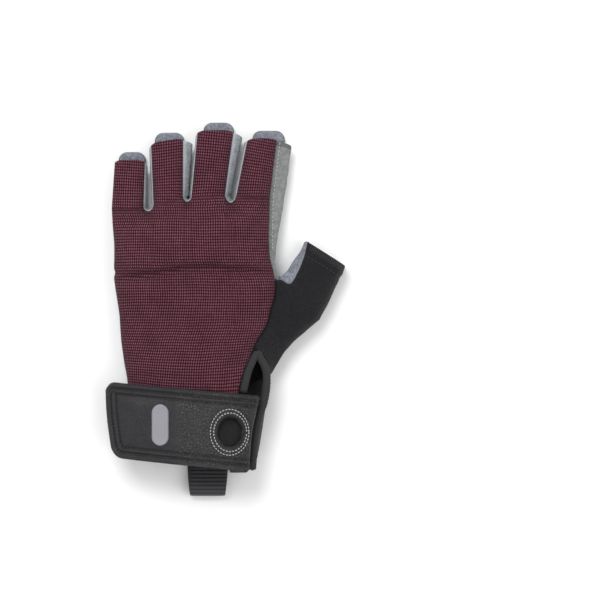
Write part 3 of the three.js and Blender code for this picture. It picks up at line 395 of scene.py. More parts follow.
FINGER_COLUMNS = 16
CROTCH_COLUMNS = 8
HAND_ROWS = 100
FINGER_ROWS = 36
CROTCH_ROW = 58
ALL_ROWS = HAND_ROWS + FINGER_ROWS

columns = []
finger_start = []
left = -KNUCKLE_BREADTH / 2
for f, finger in enumerate(FINGERS):
    finger_start.append(len(columns))
    breadth = finger["breadth"] * KNUCKLE_BREADTH
    for k in range(FINGER_COLUMNS + 1):
        even = k / FINGER_COLUMNS
        share = mix((1 - math.cos(math.pi * even)) / 2, even, 0.35)
        columns.append(dict(
            finger=f, share=share, x=left + share * breadth, dip=0,
            rise=mix(finger["left"], finger["right"], share) * HAND_LENGTH,
        ))
    left += breadth
    if f < len(CROTCHES):
        width = CROTCHES[f]["width"] * KNUCKLE_BREADTH
        low = -CROTCHES[f]["dip"] * HAND_LENGTH
        edges = (finger["right"] * HAND_LENGTH, FINGERS[f + 1]["left"] * HAND_LENGTH)
        for k in range(1, CROTCH_COLUMNS):
            t = k / CROTCH_COLUMNS
            side = edges[0] if t < 0.5 else edges[1]
            depth = math.sin(math.pi * t) ** 0.7
            columns.append(dict(finger=None, share=0, x=left + t * width, dip=depth, rise=mix(side, low, depth)))
        left += width
LAST = len(columns) - 1
column_x = np.array([c["x"] for c in columns])
in_crotch = np.array([columns[i]["finger"] is None or columns[i + 1]["finger"] is None for i in range(LAST)])


def across(i):
    return columns[i]["x"] / KNUCKLE_BREADTH + 0.5


def along_at(j):
    return j / HAND_ROWS if j <= HAND_ROWS else 1 + (j - HAND_ROWS) / FINGER_ROWS


def side_x(key, along):
    return column(BACK_ROWS, key, along) * KNUCKLE_BREADTH


def plan(i, along, under=0):
    """A point's place in the plan. under moves the palm's edge out past the knit's."""
    c = columns[i]
    if along <= 1:
        x = mix(side_x(LEFT, along), side_x(RIGHT, along), across(i))
        return vec(x + under * across(i), along * (HAND_LENGTH + c["rise"]))
    stall = FINGERS[c["finger"]]
    s = along - 1
    centre = c["x"] + ((0.5 - c["share"]) * stall["breadth"] + stall["lean"] * s) * KNUCKLE_BREADTH
    breadth = mix(stall["breadth"], stall["tip"], s) * KNUCKLE_BREADTH
    base = (stall["left"] + stall["right"]) / 2 * HAND_LENGTH
    y = HAND_LENGTH + c["rise"] + s * (stall["length"] * FINGER_LENGTH - c["rise"] + base)
    y += s ** 3 * (stall["tilt"] * FINGER_LENGTH * (c["share"] - 0.5) - 1.1 * abs(2 * c["share"] - 1) ** 5)
    return vec(centre + (c["share"] - 0.5) * breadth + under * stall["under"] * c["share"], y)


FINGER_CROWNS = (1.03, 0.92)
# the knuckle fold: where it runs, how far it spreads, where it is lowest and how it rises to both sides
FOLD_ALONG, FOLD_SPREAD, FOLD_LOW = 0.64, 0.12, 0.59
FOLD_LEFT, FOLD_RIGHT = 0.07, 0.03


def finger_top(i, s):
    c = columns[i]
    if c["finger"] is None:
        return FINGER_SEAM_HEIGHT - 0.8 * c["dip"]
    return mix(FINGER_SEAM_HEIGHT, FINGER_HEIGHT * mix(*FINGER_CROWNS, s), dome(c["share"], 2.3))


def back_height(i, along):
    if along > 1:
        return finger_top(i, along - 1)
    u = across(i)
    # the knuckle fold runs level between the fingers and dips toward both sides
    level_along = along * (1 + columns[i]["rise"] / HAND_LENGTH * (1 - ease((along - 0.72) / 0.26)))
    bend = FOLD_LEFT * (1 - u / FOLD_LOW) ** 1.4 if u < FOLD_LOW else FOLD_RIGHT * (u - FOLD_LOW) / (1 - FOLD_LOW)
    top = column(BACK_ROWS, TOP, level_along + bend * bell(along - FOLD_ALONG, FOLD_SPREAD)) * HAND_HEIGHT
    edge = mix(SIDE_SEAM_HEIGHT, column(BACK_ROWS, RIGHT_EDGE, along) * HAND_HEIGHT, u)
    hand = mix(edge, top, dome(u, 2.6))
    # the cloth stays high until it falls to a crotch in its last few millimetres
    t = min(1, max(0, (along - KNIT_BLEND_START) / (1 - KNIT_BLEND_START)))
    finger, share = columns[i]["finger"], columns[i]["share"]
    outside = (finger == 0 and share < 0.5) or (finger == len(FINGERS) - 1 and share > 0.5)
    crown = 0 if finger is None else 1 if outside else dome(share, 2.3)
    return mix(hand, finger_top(i, 0), mix(t ** 4, ease(t), crown ** 2))


def wrist_slope(i, along):
    fade = min(1, max(0, 1 - along / 0.5))
    return (0.5 - across(i)) * WRIST_DROP * fade * fade


def back_point(i, along):
    p = plan(i, along)
    return vec(p[0], p[1] + wrist_slope(i, along), back_height(i, along))


def level_normals(path):
    out = []
    for k, (i, j) in enumerate(path):
        before, after = path[max(0, k - 1)], path[min(len(path) - 1, k + 1)]
        run = unit(plan(after[0], along_at(after[1])) - plan(before[0], along_at(before[1])))
        out.append((i, j, vec(-run[1], run[0])))
    return out


crotch_seams = []
for f in range(len(CROTCHES)):
    right = finger_start[f] + FINGER_COLUMNS
    path = [(right, j) for j in range(ALL_ROWS, HAND_ROWS - 1, -1)]
    path += [(right + k, HAND_ROWS) for k in range(1, CROTCH_COLUMNS)]
    path += [(right + CROTCH_COLUMNS, j) for j in range(HAND_ROWS, ALL_ROWS + 1)]
    crotch_seams.append(level_normals(path))
index_seam = level_normals([(LAST, j) for j in range(ALL_ROWS, CROTCH_ROW - 1, -1)])
seam_normal = {}
for path in crotch_seams + [index_seam]:
    for i, j, normal in path:
        seam_normal[(i, j)] = normal
for j in range(ALL_ROWS + 1):
    seam_normal[(0, j)] = vec(-1, 0)


def across_only(inward):
    return unit(vec(inward[0], 0, inward[2]))


def finger_cells():
    cells = np.ones((LAST, ALL_ROWS), bool)
    cells[in_crotch, HAND_ROWS:] = False
    return cells


def hand_grid(last, place):
    """Points of the hand and the fingers, from place(column, along), with none between the fingers."""
    grid = np.full((last + 1, ALL_ROWS + 1, 3), np.nan)
    for i in range(LAST + 1):
        for j in range(ALL_ROWS + 1):
            if j <= HAND_ROWS or columns[i]["finger"] is not None:
                grid[i, j] = place(i, along_at(j))
    return grid


def near_edge(grid, cells):
    """Each point's distance in millimetres to the nearest edge of the cloth."""
    count = cells_beside(cells)
    rim = grid[(count > 0) & (count < 4)][:, :2]
    flat = np.nan_to_num(grid[..., :2]).reshape(-1, 2)
    best = np.full(len(flat), 1e9)
    for start in range(0, len(flat), 2000):
        part = flat[start:start + 2000]
        best[start:start + 2000] = np.sqrt(((part[:, None] - rim[None]) ** 2).sum(2)).min(1)
    return best.reshape(grid.shape[:2])


def line_distance(points, line):
    """Distance in the plan from each point to a line of points."""
    flat = np.asarray(points)[:, :2]
    best = np.full(len(flat), 1e9)
    line = np.asarray(line, float)[:, :2]
    for a, b in zip(line[:-1], line[1:]):
        run = b - a
        t = np.clip(((flat - a) @ run) / max(1e-9, run @ run), 0, 1)
        best = np.minimum(best, np.linalg.norm(flat - a - t[:, None] * run, axis=1))
    return best


def arc_lengths(grid, start):
    """Lengths along each row of points from one column."""
    step = np.linalg.norm(np.diff(grid, axis=0), axis=2)
    run = np.concatenate([np.zeros((1, grid.shape[1])), np.cumsum(step, axis=0)])
    return run - run[start][None]


# Knit back

ORIGIN_PX, ORIGIN_PY = 190.5, 390
PIXEL_ACROSS, PIXEL_ALONG = 0.5396, 0.54


def plan_point(px, py):
    """Plan millimetres of a place in the 600 pixel photograph's frame."""
    return (px - ORIGIN_PX) * PIXEL_ACROSS, (ORIGIN_PY - py) * PIXEL_ALONG


# from and to in pixels, then width and height in millimetres
KNIT_CREASES = [
    ((232, 352), (262, 344), 3.2, 0.9), ((226, 366), (252, 358), 2.6, -0.6), ((205, 372), (246, 371), 2.6, 0.5),
    ((118, 282), (190, 268), 2.0, -0.55), ((185, 268), (272, 272), 2.0, -0.6), ((130, 296), (205, 290), 3.4, 0.3),
    ((140, 226), (196, 221), 5.0, 0.35), ((208, 219), (262, 224), 5.0, 0.35), ((246, 312), (268, 286), 3.0, 0.35),
    ((238, 338), (262, 318), 3.0, -0.35), ((128, 344), (160, 340), 3.0, -0.25), ((126, 372), (210, 381), 1.8, -0.45),
]
THUMB_CREASES = [
    ((276, 282), (300, 300), 2.6, -0.8), ((268, 306), (292, 322), 3.2, 0.6), ((262, 324), (284, 338), 2.6, -0.6),
    ((282, 292), (306, 312), 2.4, 0.5), ((296, 262), (326, 284), 3.0, -0.35),
]


def creases(points, table):
    """The relief of folds that fade at both ends."""
    total = 0
    for start, end, width, height in table:
        a = np.array(plan_point(*start))
        run = np.array(plan_point(*end)) - a
        length = np.linalg.norm(run)
        t = ((points[..., :2] - a) @ run) / length ** 2
        off = np.abs((points[..., 0] - a[0]) * run[1] - (points[..., 1] - a[1]) * run[0]) / length
        total = total + height * bell(off, width) * ease_all(t * 4) * ease_all((1 - t) * 4)
    return total


def knit_row(i, along):
    """Which row of the knit lies here: rows run level over the hand and square to each finger."""
    c = columns[i]
    if along > 1 and c["finger"] is None:
        return 0
    p = plan(i, along)
    if along <= 1:
        rise = 3.4 * max(0, (across(i) - 0.5) / 0.5) ** 2 * bell(p[1] - 15, 15)
        return p[1] - rise
    stall = FINGERS[c["finger"]]
    s = along - 1
    lean = stall["lean"] * KNUCKLE_BREADTH / (stall["length"] * FINGER_LENGTH) - stall["tilt"] * 1.2
    return p[1] + (c["share"] - 0.5) * stall["breadth"] * KNUCKLE_BREADTH * lean * ease(s * 1.6)


def build_back():
    cells = finger_cells()
    grid = hand_grid(LAST, back_point)
    grid[0, :, 2] += SEAM_GAP / 2
    points = np.nan_to_num(grid)
    arcs = arc_lengths(points, int(np.argmin(np.abs(column_x))))
    uv = np.zeros((LAST + 1, ALL_ROWS + 1, 2))
    for j in range(ALL_ROWS + 1):
        uv[:, j, 0] = arcs[:, min(j, HAND_ROWS)]
        uv[:, j, 1] = [knit_row(i, along_at(j)) for i in range(LAST + 1)]
    edge = near_edge(grid, cells)
    inset = ease_all(edge / 5)
    relief = 0.34 * ruffle(points, 17, 3.1) * inset
    relief += 0.26 * ruffle(points * (0.45, 1.6, 1), 11, 8.7) * inset
    relief += creases(points, KNIT_CREASES) * inset
    # small puckers along the sewn edges
    along_edge = points[..., 0] * 0.6 + points[..., 1]
    relief += 0.16 * np.sin(along_edge * 2 * math.pi / 3.4) * bell(edge - 1.6, 1.3) * (edge > 0.01)

    def way(i, j, inward):
        if (i, j) in seam_normal:
            return -seam_normal[(i, j)]
        if i == LAST:
            return DOWN
        return across_only(inward) if j == 0 else None

    return shell("knit_back", grid, uv, KNIT_WALL, cells, way, relief=relief)


# Thumb frame

crotch_plan = plan(LAST, CROTCH_SHARE)
turn = math.radians(THUMB_ANGLE)
thumb_along = vec(math.sin(turn), math.cos(turn))
thumb_across = vec(math.cos(turn), -math.sin(turn))


def thumb_rail(rail, at, height):
    p = crotch_plan + thumb_along * column(THUMB_ROWS, rail, at) * THUMB_LENGTH
    p = p + thumb_across * column(THUMB_ROWS, rail + 1, at) * THUMB_BREADTH
    return vec(p[0] + THUMB_CROTCH_WIDTH, p[1], height)


def wrist_line(x):
    share = (x / KNUCKLE_BREADTH - WRIST_PALM) / (WRIST_OUTER - WRIST_PALM)
    return WRIST_RISE * HAND_LENGTH * min(1, max(0, share)) ** 2


def wrist_point(share, height):
    x = share * KNUCKLE_BREADTH
    return vec(x, wrist_line(x), height)


def lift_under(point):
    heel = CUFF_LIFT * (1 - ease((point[1] - wrist_line(point[0])) / (HEEL_SHARE * HAND_LENGTH)))
    front = FINGER_LIFT * ease((point[1] / HAND_LENGTH - FRONT_START) / (FRONT_END - FRONT_START))
    lift = heel + front if point[0] < crotch_plan[0] else heel
    z = max(0, point[2])
    return vec(point[0], point[1], z + lift * max(0, 1 - z / SIDE_SEAM_HEIGHT))


def lower_edge(wrist, crotch, r):
    run = crotch - wrist
    return wrist + run * r + unit(vec(-run[1], run[0])) * THUMB_EDGE_BOW * math.sin(math.pi * r)


def outer_edge(r):
    wrist = wrist_point(WRIST_OUTER, WRIST_OUTER_HEIGHT * HAND_HEIGHT)
    return lower_edge(wrist, thumb_rail(OUTER, 0, THUMB_HEIGHT * 0.5), r)


def under_edge(r):
    return lower_edge(wrist_point(WRIST_UNDER, 0), thumb_rail(UNDER, 0, 0), r)


def level(v):
    return vec(v[0], v[1], 0)


def under_seam(outer, under, side):
    return under + unit(level(outer - under)) * side * SEAM_GAP / 2


# Padded palm

THUMB_PALM_COLUMNS = 26
THUMB_ROWS_COUNT = 30
PALM_LAST = LAST + 1 + THUMB_PALM_COLUMNS


CROTCH_HEIGHT = THUMB_HEIGHT * 0.66
CROTCH_FADE = 5


def palm_right_height(along):
    """How high the palm's edge stands on the index finger's side."""
    if along >= CROTCH_SHARE:
        t = (along - CROTCH_SHARE) / (1 - CROTCH_SHARE)
        return mix(CROTCH_HEIGHT, FINGER_UNDER_SEAM_HEIGHT, ease(t * 1.6))
    return CROTCH_HEIGHT * math.exp(-((CROTCH_SHARE - along) * HAND_LENGTH) / CROTCH_FADE)


def palm_hand_point(i, along):
    c = columns[i]
    u = across(i)
    under = SIDE_UNDER * column(SIDE_ROWS, 2, max(CROTCH_SHARE, along))
    p = plan(i, along, under if along >= CROTCH_SHARE else 0)
    if along < CROTCH_SHARE:
        inner = mix(wrist_point(WRIST_PALM, 0), vec(crotch_plan[0], crotch_plan[1]), along / CROTCH_SHARE)
        p[0] = mix(side_x(LEFT, along), inner[0], u)
    rim = max(0, 1 - 1.003 * dome(u, 7))
    side = SIDE_SEAM_HEIGHT if u < 0.5 else palm_right_height(along)
    hand = lift_under(vec(p[0], p[1], rim * (side - SEAM_GAP / 2)))
    if along > 1:
        hand[1] -= PALM_SETBACK * (along - 1)
    if along <= BLEND_START:
        return hand
    little = c["finger"] == 0 and c["share"] < 0.5
    edge = SIDE_SEAM_HEIGHT - SEAM_GAP / 2 if little else FINGER_UNDER_SEAM_HEIGHT
    stall = mix(FINGER_LIFT, edge, 1 - dome(c["share"], 3.2))
    if c["finger"] is None:
        stall = FINGER_UNDER_SEAM_HEIGHT + 0.6 * c["dip"]
    return vec(hand[0], hand[1], mix(hand[2], stall, ease((along - BLEND_START) / (1 - BLEND_START))))


def palm_thumb_point(c, j):
    if j < CROTCH_ROW:
        along = along_at(j)
        r = along / CROTCH_SHARE
        inner = palm_hand_point(LAST, along)
        height = inner[2]
        under = under_seam(outer_edge(r), under_edge(r), -1)
        inner[0] += THUMB_CROTCH_WIDTH
        inner[1] += wrist_line(inner[0]) * (1 - r)
        near, middle = mix(inner, under, 0.12), mix(inner, under, 0.45)
        near[2], middle[2] = height * 0.6, 0
        return lift_under(through([inner, near, middle, under], c))
    at = (j - CROTCH_ROW) / THUMB_ROWS_COUNT
    seam = thumb_rail(SEAM, at, column(THUMB_ROWS, SEAM + 2, at) * THUMB_HEIGHT)
    inner = thumb_rail(INNER, at, column(THUMB_ROWS, INNER + 2, at) * THUMB_HEIGHT)
    outer = thumb_rail(OUTER, at, 0)
    under = under_seam(outer, thumb_rail(UNDER, at, 0), -1)
    seam = seam - unit(level(outer - seam)) * SEAM_GAP / 2
    seam[2] -= CROTCH_TUCK * (1 - ease(at / 0.25))
    low, flat = mix(inner, under, 0.2), mix(inner, under, 0.55)
    low[2], flat[2] = 0.9, 0
    point = through([seam, inner, low, flat, under], c)
    point[2] = max(0, point[2])
    return point


# Shifts from the palm seen in the photograph to the glove that is built, at four places of it
SHIFTS = [((508, 206), (-178, 58)), ((460, 95), (-191, 44)), ((317, 112), (-185, 46)), ((370, 335), (-195, 48))]


def palm_line(*places):
    out = []
    for px, py in places:
        weights = [1 / (math.hypot(px - x, py - y) + 20) ** 2 for (x, y), _ in SHIFTS]
        dx = sum(w * s[0] for w, (_, s) in zip(weights, SHIFTS)) / sum(weights)
        dy = sum(w * s[1] for w, (_, s) in zip(weights, SHIFTS)) / sum(weights)
        out.append(plan_point(px + dx, py + dy))
    return smooth_line(out)


def smooth_line(points, step=0.8, closed=False):
    points = [np.array(p, float) for p in points]
    if closed:
        points = points + [points[0]]
    length = sum(np.linalg.norm(b - a) for a, b in zip(points[:-1], points[1:]))
    count = max(2, int(length / step))
    dense = np.array([through(points, k / (count * 4)) for k in range(count * 4 + 1)])
    run = run_along(dense)
    wanted = np.linspace(0, run[-1], count + 1)
    return np.stack([np.interp(wanted, run, dense[:, k]) for k in range(dense.shape[1])], axis=1)


QUILTING = [
    palm_line((418, 189), (380, 189.5), (343, 190), (333, 193), (326, 201), (324, 215), (322.5, 245)),
    palm_line((406, 209), (370, 209.5), (351, 210.5), (343, 218), (340, 235), (339, 255), (348, 260.5), (390, 259),
              (424, 257), (430, 261), (418, 277), (402, 294), (388, 304), (372, 306.5), (350, 305), (331, 301)),
    palm_line((412, 223), (385, 230), (358, 241), (370, 244), (390, 243), (425, 239.5), (437, 241)),
    palm_line((437, 241), (447, 233), (457, 229), (463, 233), (460, 250), (450, 268), (438, 286), (425, 304),
              (411, 319), (392, 327), (365, 325), (340, 321), (325, 317)),
]
FOLDS = [
    palm_line((306, 171), (340, 167), (378, 162), (418, 159)),
    palm_line((418, 162), (427, 169), (440, 171), (450, 171)),
    palm_line((453, 227), (442, 236), (430, 245)),
    palm_line((322, 142), (334, 140), (345, 143)), palm_line((318, 152), (330, 150), (346, 154)),
    palm_line((362, 128), (375, 126), (386, 128)), palm_line((407, 122), (420, 119), (432, 122)),
    palm_line((452, 128), (463, 125), (474, 127)), palm_line((446, 146), (458, 143), (472, 146)),
]


def build_palm():
    cells = np.zeros((PALM_LAST, ALL_ROWS), bool)
    cells[:LAST] = finger_cells()
    cells[LAST, :CROTCH_ROW] = True
    cells[LAST + 1:, :CROTCH_ROW + THUMB_ROWS_COUNT] = True
    grid = hand_grid(PALM_LAST, palm_hand_point)
    for i in range(LAST + 1, PALM_LAST + 1):
        c = (i - LAST - 1) / THUMB_PALM_COLUMNS
        for j in range(CROTCH_ROW + THUMB_ROWS_COUNT + 1):
            grid[i, j] = palm_thumb_point(c, j)
    points = np.nan_to_num(grid)
    edge = near_edge(grid, cells)
    flat = points.reshape(-1, 3)
    inset = ease_all((edge - 1) / 4)
    relief = np.zeros(edge.shape)
    for line in QUILTING:
        relief -= 0.95 * bell(line_distance(flat, line), 1.0).reshape(edge.shape)
    for line in FOLDS:
        relief -= 0.45 * bell(line_distance(flat, line), 1.2).reshape(edge.shape) * inset
    relief -= 0.22 * (0.5 + 0.5 * ruffle(points, 9, 1.7)) * inset
    relief = np.maximum(relief, -1.1)

    def way(i, j, inward):
        if i <= LAST and (i, j) in seam_normal:
            return -seam_normal[(i, j)]
        if i == PALM_LAST:
            return UP
        if i == LAST + 1 and j >= CROTCH_ROW:
            return -thumb_along if j == CROTCH_ROW else DOWN
        return across_only(inward) if j == 0 else None

    return shell("padded_palm", grid, points[..., :2], SUEDE_WALL, cells, way,
                 relief=relief, inner_relief=0.1, facing=-1)


# Side walls of the fingers

SIDE_UV_HEIGHT = 9


def build_side(name, seam, bulge_at, steps=10):
    grid = np.zeros((len(seam), steps + 1, 3))
    for k, (i, j, normal) in enumerate(seam):
        low = palm_hand_point(i, along_at(j)) + vec(0, 0, SEAM_GAP)
        high = back_point(i, along_at(j)) - vec(0, 0, SEAM_GAP)
        for q in range(steps + 1):
            share = q / steps
            grid[k, q] = mix(low, high, share) + normal * bulge_at(k) * math.sin(math.pi * share)
    run = run_along(grid[:, steps // 2])
    uv = uv_of(run[:, None], np.linspace(0, SIDE_UV_HEIGHT, steps + 1)[None])
    relief = 0.25 * ruffle(grid, 5.5, 4.4) * np.sin(np.linspace(0, math.pi, steps + 1))[None]
    return shell(name, grid, uv, FOURCHETTE_WALL, way=lambda k, q, inward: -seam[k][2], relief=relief, facing=-1)


def fourchette_bulge(seam, bulge):
    half = (len(seam) - 1) / 2

    def at(k):
        s = abs(k - half) / half
        return mix(bulge[1], bulge[0] if k < half else bulge[2], s * s) * CROTCH_BULGE

    return at


def index_bulge(k):
    return SIDE_BULGE * column(SIDE_ROWS, 1, along_at(index_seam[k][1]))


# Black thumb

THUMB_BACK_COLUMNS = 44
LOWER_ROWS = 36
UPPER_ROWS = 34


SLIT_SHARE = 0.36
# x, y and height of the wrist slit's outer side
SLIT_OUTER = [(0.5, 0.1, 0.6), (0.476, 0.165, 0.7), (0.422, 0.222, 0.775)]


def thumb_left(r):
    if r < SLIT_SHARE:
        sizes = np.array([KNUCKLE_BREADTH, HAND_LENGTH, HAND_HEIGHT])
        return through([sizes * row for row in SLIT_OUTER], min(1, r / SLIT_SHARE))
    along = mix(SLIT_OUTER[-1][1], CROTCH_SHARE, (r - SLIT_SHARE) / (1 - SLIT_SHARE))
    return back_point(LAST, along) + vec(SEAM_GAP, 0)


def thumb_back_point(c, w):
    """w runs from 0 at the wrist to 1 at the crotch and 2 at the thumb's open end."""
    if w < 1:
        left, outer, under = thumb_left(w), outer_edge(w), under_edge(w)
        crown = mix(HAND_HEIGHT * 0.5, column(THUMB_ROWS, CROWN, 0) * THUMB_HEIGHT, w)
    else:
        at = w - 1
        left = thumb_rail(SEAM, at, column(THUMB_ROWS, SEAM + 2, at) * THUMB_HEIGHT)
        outer = thumb_rail(OUTER, at, THUMB_HEIGHT * 0.48)
        under = thumb_rail(UNDER, at, 0)
        left = left + unit(level(outer - left)) * SEAM_GAP / 2
        crown = column(THUMB_ROWS, CROWN, at) * THUMB_HEIGHT
    under = under_seam(outer, under, 1)
    rise, shoulder = mix(left, outer, 0.45), mix(left, outer, 0.86)
    rise[2] = max(crown, mix(left[2], outer[2], 0.3))
    shoulder[2] = mix(outer[2], crown, 0.72)
    heel, sole = mix(outer, under, 0.14), mix(outer, under, 0.45)
    heel[2], sole[2] = 1.4, 0
    point = through([left, rise, shoulder, outer, heel, sole, under], c)
    if w == 0 and c > 0.5:
        point[1] = wrist_line(point[0])
    return lift_under(point)


LOWER_LENGTH = 38
HEM_START = 0.8


def build_thumb():
    stations = [j / LOWER_ROWS for j in range(LOWER_ROWS)] + [1 + k / UPPER_ROWS for k in range(UPPER_ROWS + 1)]
    grid = grid_of(THUMB_BACK_COLUMNS, LOWER_ROWS + UPPER_ROWS,
                   lambda i, j: thumb_back_point(i / THUMB_BACK_COLUMNS, stations[j]))
    down = [w * LOWER_LENGTH if w < 1 else LOWER_LENGTH + (w - 1) * THUMB_LENGTH for w in stations]
    uv = uv_of(arc_lengths(grid, 0), np.array(down)[None])
    hem = ease_all((np.array(stations) - 1 - HEM_START) / 0.035)[None]
    upper = ease_all((grid[..., 2] - 3) / 4)
    side = np.sin(np.linspace(0, math.pi, THUMB_BACK_COLUMNS + 1))[:, None] ** 0.5
    relief = 0.5 * ruffle(grid, 13, 6.2) + 0.2 * ruffle(grid * (1.7, 0.7, 1), 7, 2.2)
    relief = relief * upper * side * (1 - hem) + 0.42 * hem + creases(grid, THUMB_CREASES) * upper * side

    def way(i, j, inward):
        if i == 0:
            return DOWN
        if i == THUMB_BACK_COLUMNS:
            return UP
        return across_only(inward) if j == 0 else None

    return shell("thumb_cloth", grid, uv, THUMB_WALL, None, way, relief=relief), grid


# Cuff

CUFF_ROWS = 30
ELASTIC_COLUMNS = 110
ELASTIC_TURN = 1.12
ELASTIC_RIGHT = (0.502, 0.42)
CUFF_DOWN = np.linspace(0, CUFF_WIDTH, CUFF_ROWS + 1)[None]


def cuff_point(i, j):
    along = -j / CUFF_ROWS * CUFF_WIDTH / HAND_LENGTH
    x = mix(side_x(LEFT, along), side_x(RIGHT, along), across(i))
    y = along * HAND_LENGTH - SEAM_GAP + wrist_slope(i, 0)
    return vec(x, y, back_height(i, along) + (SEAM_GAP / 2 if i == 0 else 0))


def build_cuff_base():
    grid = grid_of(LAST, CUFF_ROWS, cuff_point)
    relief = -0.15 + 0.15 * ruffle(grid, 12, 5.0)

    def way(i, j, inward):
        if i == 0:
            return vec(1, 0, 0)
        return DOWN if i == LAST else across_only(inward)

    uv = uv_of(arc_lengths(grid, 0), CUFF_DOWN)
    return shell("cuff_back", grid, uv, CUFF_WALL, None, way, relief=relief, facing=-1)


def power_round(value, power):
    return math.copysign(abs(value) ** (2 / power), value)


def elastic_point(c, share):
    along = -share * CUFF_WIDTH / HAND_LENGTH
    a = side_x(LEFT, along)
    b = mix(*ELASTIC_RIGHT, share) * KNUCKLE_BREADTH
    angle = math.pi * (1 + ELASTIC_TURN * c)
    seam = SIDE_SEAM_HEIGHT - SEAM_GAP / 2
    past = angle > 2 * math.pi
    power, reach = (2, HAND_HEIGHT - seam) if past else (3.6, seam - CUFF_LIFT)
    x = (a + b) / 2 + (b - a) / 2 * power_round(math.cos(angle), power)
    y = mix(wrist_line(x) - SEAM_GAP, -CUFF_WIDTH, share)
    return vec(x, y, seam + reach * power_round(math.sin(angle), power))


def build_elastic():
    grid = grid_of(ELASTIC_COLUMNS, CUFF_ROWS, lambda i, j: elastic_point(i / ELASTIC_COLUMNS, j / CUFF_ROWS))
    uv = uv_of(arc_lengths(grid, 0), CUFF_DOWN)
    # two sewn lines along the band's edges
    relief = -0.25 * bell(CUFF_DOWN - 2.6, 0.7) - 0.25 * bell(CUFF_WIDTH - CUFF_DOWN - 2.6, 0.7)
    relief = np.repeat(relief, ELASTIC_COLUMNS + 1, axis=0)

    def way(i, j, inward):
        return vec(1, 0, 0) if i == 0 else across_only(inward)

    return shell("cuff_elastic_band", grid, uv, ELASTIC_WALL, None, way, relief=relief)


# Closure strap

def strap_height(x):
    share = (x / KNUCKLE_BREADTH - STRAP_CENTRE) / (2 * STRAP_SPREAD) + 0.5
    return mix(SIDE_SEAM_HEIGHT - STRAP_END_DROP, HAND_HEIGHT + STRAP_STAND, dome(share, 2.4))


def strap_plan(u, v):
    a = column(STRAP_ROWS, 1, v) * KNUCKLE_BREADTH
    b = column(STRAP_ROWS, 2, v) * KNUCKLE_BREADTH
    past = 1 - min(1, u * (b - a) / STRAP_CORNER)
    corner = STRAP_CORNER * (1 - math.sqrt(max(0, 1 - past * past)))
    top = (STRAP_TOP - STRAP_FALL * u) * HAND_LENGTH
    y = top - v * STRAP_WIDTH - (corner if v < 0.5 else -corner) * abs(2 * v - 1)
    # the slanted ends are read at the height that the point has after the corner has moved it
    share = (top - y) / STRAP_WIDTH
    return mix(column(STRAP_ROWS, 1, share), column(STRAP_ROWS, 2, share), u) * KNUCKLE_BREADTH, y


EYELET = vec(EYELET_X * KNUCKLE_BREADTH, EYELET_Y * HAND_LENGTH)


def strap_outline():
    """The strap's top edge from the binding to the free end, round it, and back along its lower edge."""
    top = [strap_plan(u, 0) for u in np.linspace(1, 0, 160)]
    end = [strap_plan(0, v) for v in np.linspace(0, 1, 60)[1:-1]]
    low = [strap_plan(u, 1) for u in np.linspace(0, 1, 160)]
    return np.array(top + end + low)


def strap_edge(points):
    return line_distance(points, strap_outline())


SEWN_LINES = (2.7, 5.5)


def strap_relief(x, y, edge):
    """A rolled edge, two sewn channels beside it, and a soft field inside them."""
    rolled = 0.55 * bell(edge - 0.9, 0.75)
    channels = -0.75 * bell(edge - SEWN_LINES[0], 0.66) - 0.7 * bell(edge - SEWN_LINES[1], 0.7)
    between = 0.32 * bell(edge - 4.1, 0.65)
    field = 0.55 * ease_all((edge - 6) / 5)
    ring = np.sqrt(((x - EYELET[0]) / (EYELET_BREADTH / 2)) ** 2 + ((y - EYELET[1]) / (EYELET_LENGTH / 2)) ** 2)
    away = (ring - 1) * (EYELET_BREADTH + EYELET_LENGTH) / 4
    near = bell(np.maximum(0, away - 4), 2.5)
    eyelet = 0.28 * bell(away - 0.9, 0.9) - 0.32 * bell(away - 1.9, 0.45)
    eyelet += -0.32 * bell(away - 4.0, 0.5) + 0.15 * bell(away - 3.0, 0.6)
    eyelet -= 0.8 * bell(away, 0.5)
    right = ease_all((x - 0.3 * KNUCKLE_BREADTH) / 5)
    return rolled * (1 - 0.3 * right) + channels + between + field * (1 - 0.45 * near) + eyelet


STRAP_COLUMNS, STRAP_STEPS = 190, 84
STRAP_END_SHARE = 0.08


def strap_point(i, j):
    """Columns stand closer together at the free end."""
    u = i / STRAP_COLUMNS
    if u <= STRAP_END_SHARE:
        u = STRAP_END_SHARE * (u / STRAP_END_SHARE) ** 1.6
    return vec(*strap_plan(u, j / STRAP_STEPS))


def build_strap():
    grid = grid_of(STRAP_COLUMNS, STRAP_STEPS, strap_point)
    # cells inside the eyelet are left out, and the points beside them lie on its edge
    from_eyelet = grid[..., :2] - EYELET[:2]
    ring = np.linalg.norm(from_eyelet / (np.array([EYELET_BREADTH, EYELET_LENGTH]) / 2), axis=2)
    cells = (ring[1:, 1:] + ring[:-1, 1:] + ring[1:, :-1] + ring[:-1, :-1]) / 4 > 1
    hole = cells_beside(~cells)
    snap = ((hole > 0) & (hole < 4))[..., None]
    grid[..., :2] = np.where(snap, EYELET[:2] + from_eyelet / np.maximum(ring, 0.01)[..., None], grid[..., :2])
    grid[..., 2] = np.vectorize(strap_height)(grid[..., 0])
    edge = strap_edge(grid.reshape(-1, 3)).reshape(ring.shape)
    relief = strap_relief(grid[..., 0], grid[..., 1], edge)
    relief += 0.3 * ruffle(grid, 15, 9.3) * ease_all((edge - 5) / 5)
    uv = uv_of(arc_lengths(grid, 0), -grid[..., 1])
    return shell("leather_strap", grid, uv, STRAP_WALL, cells, None,
                 relief=relief, inner_relief=0.1, facing=-1, rim=0.6)


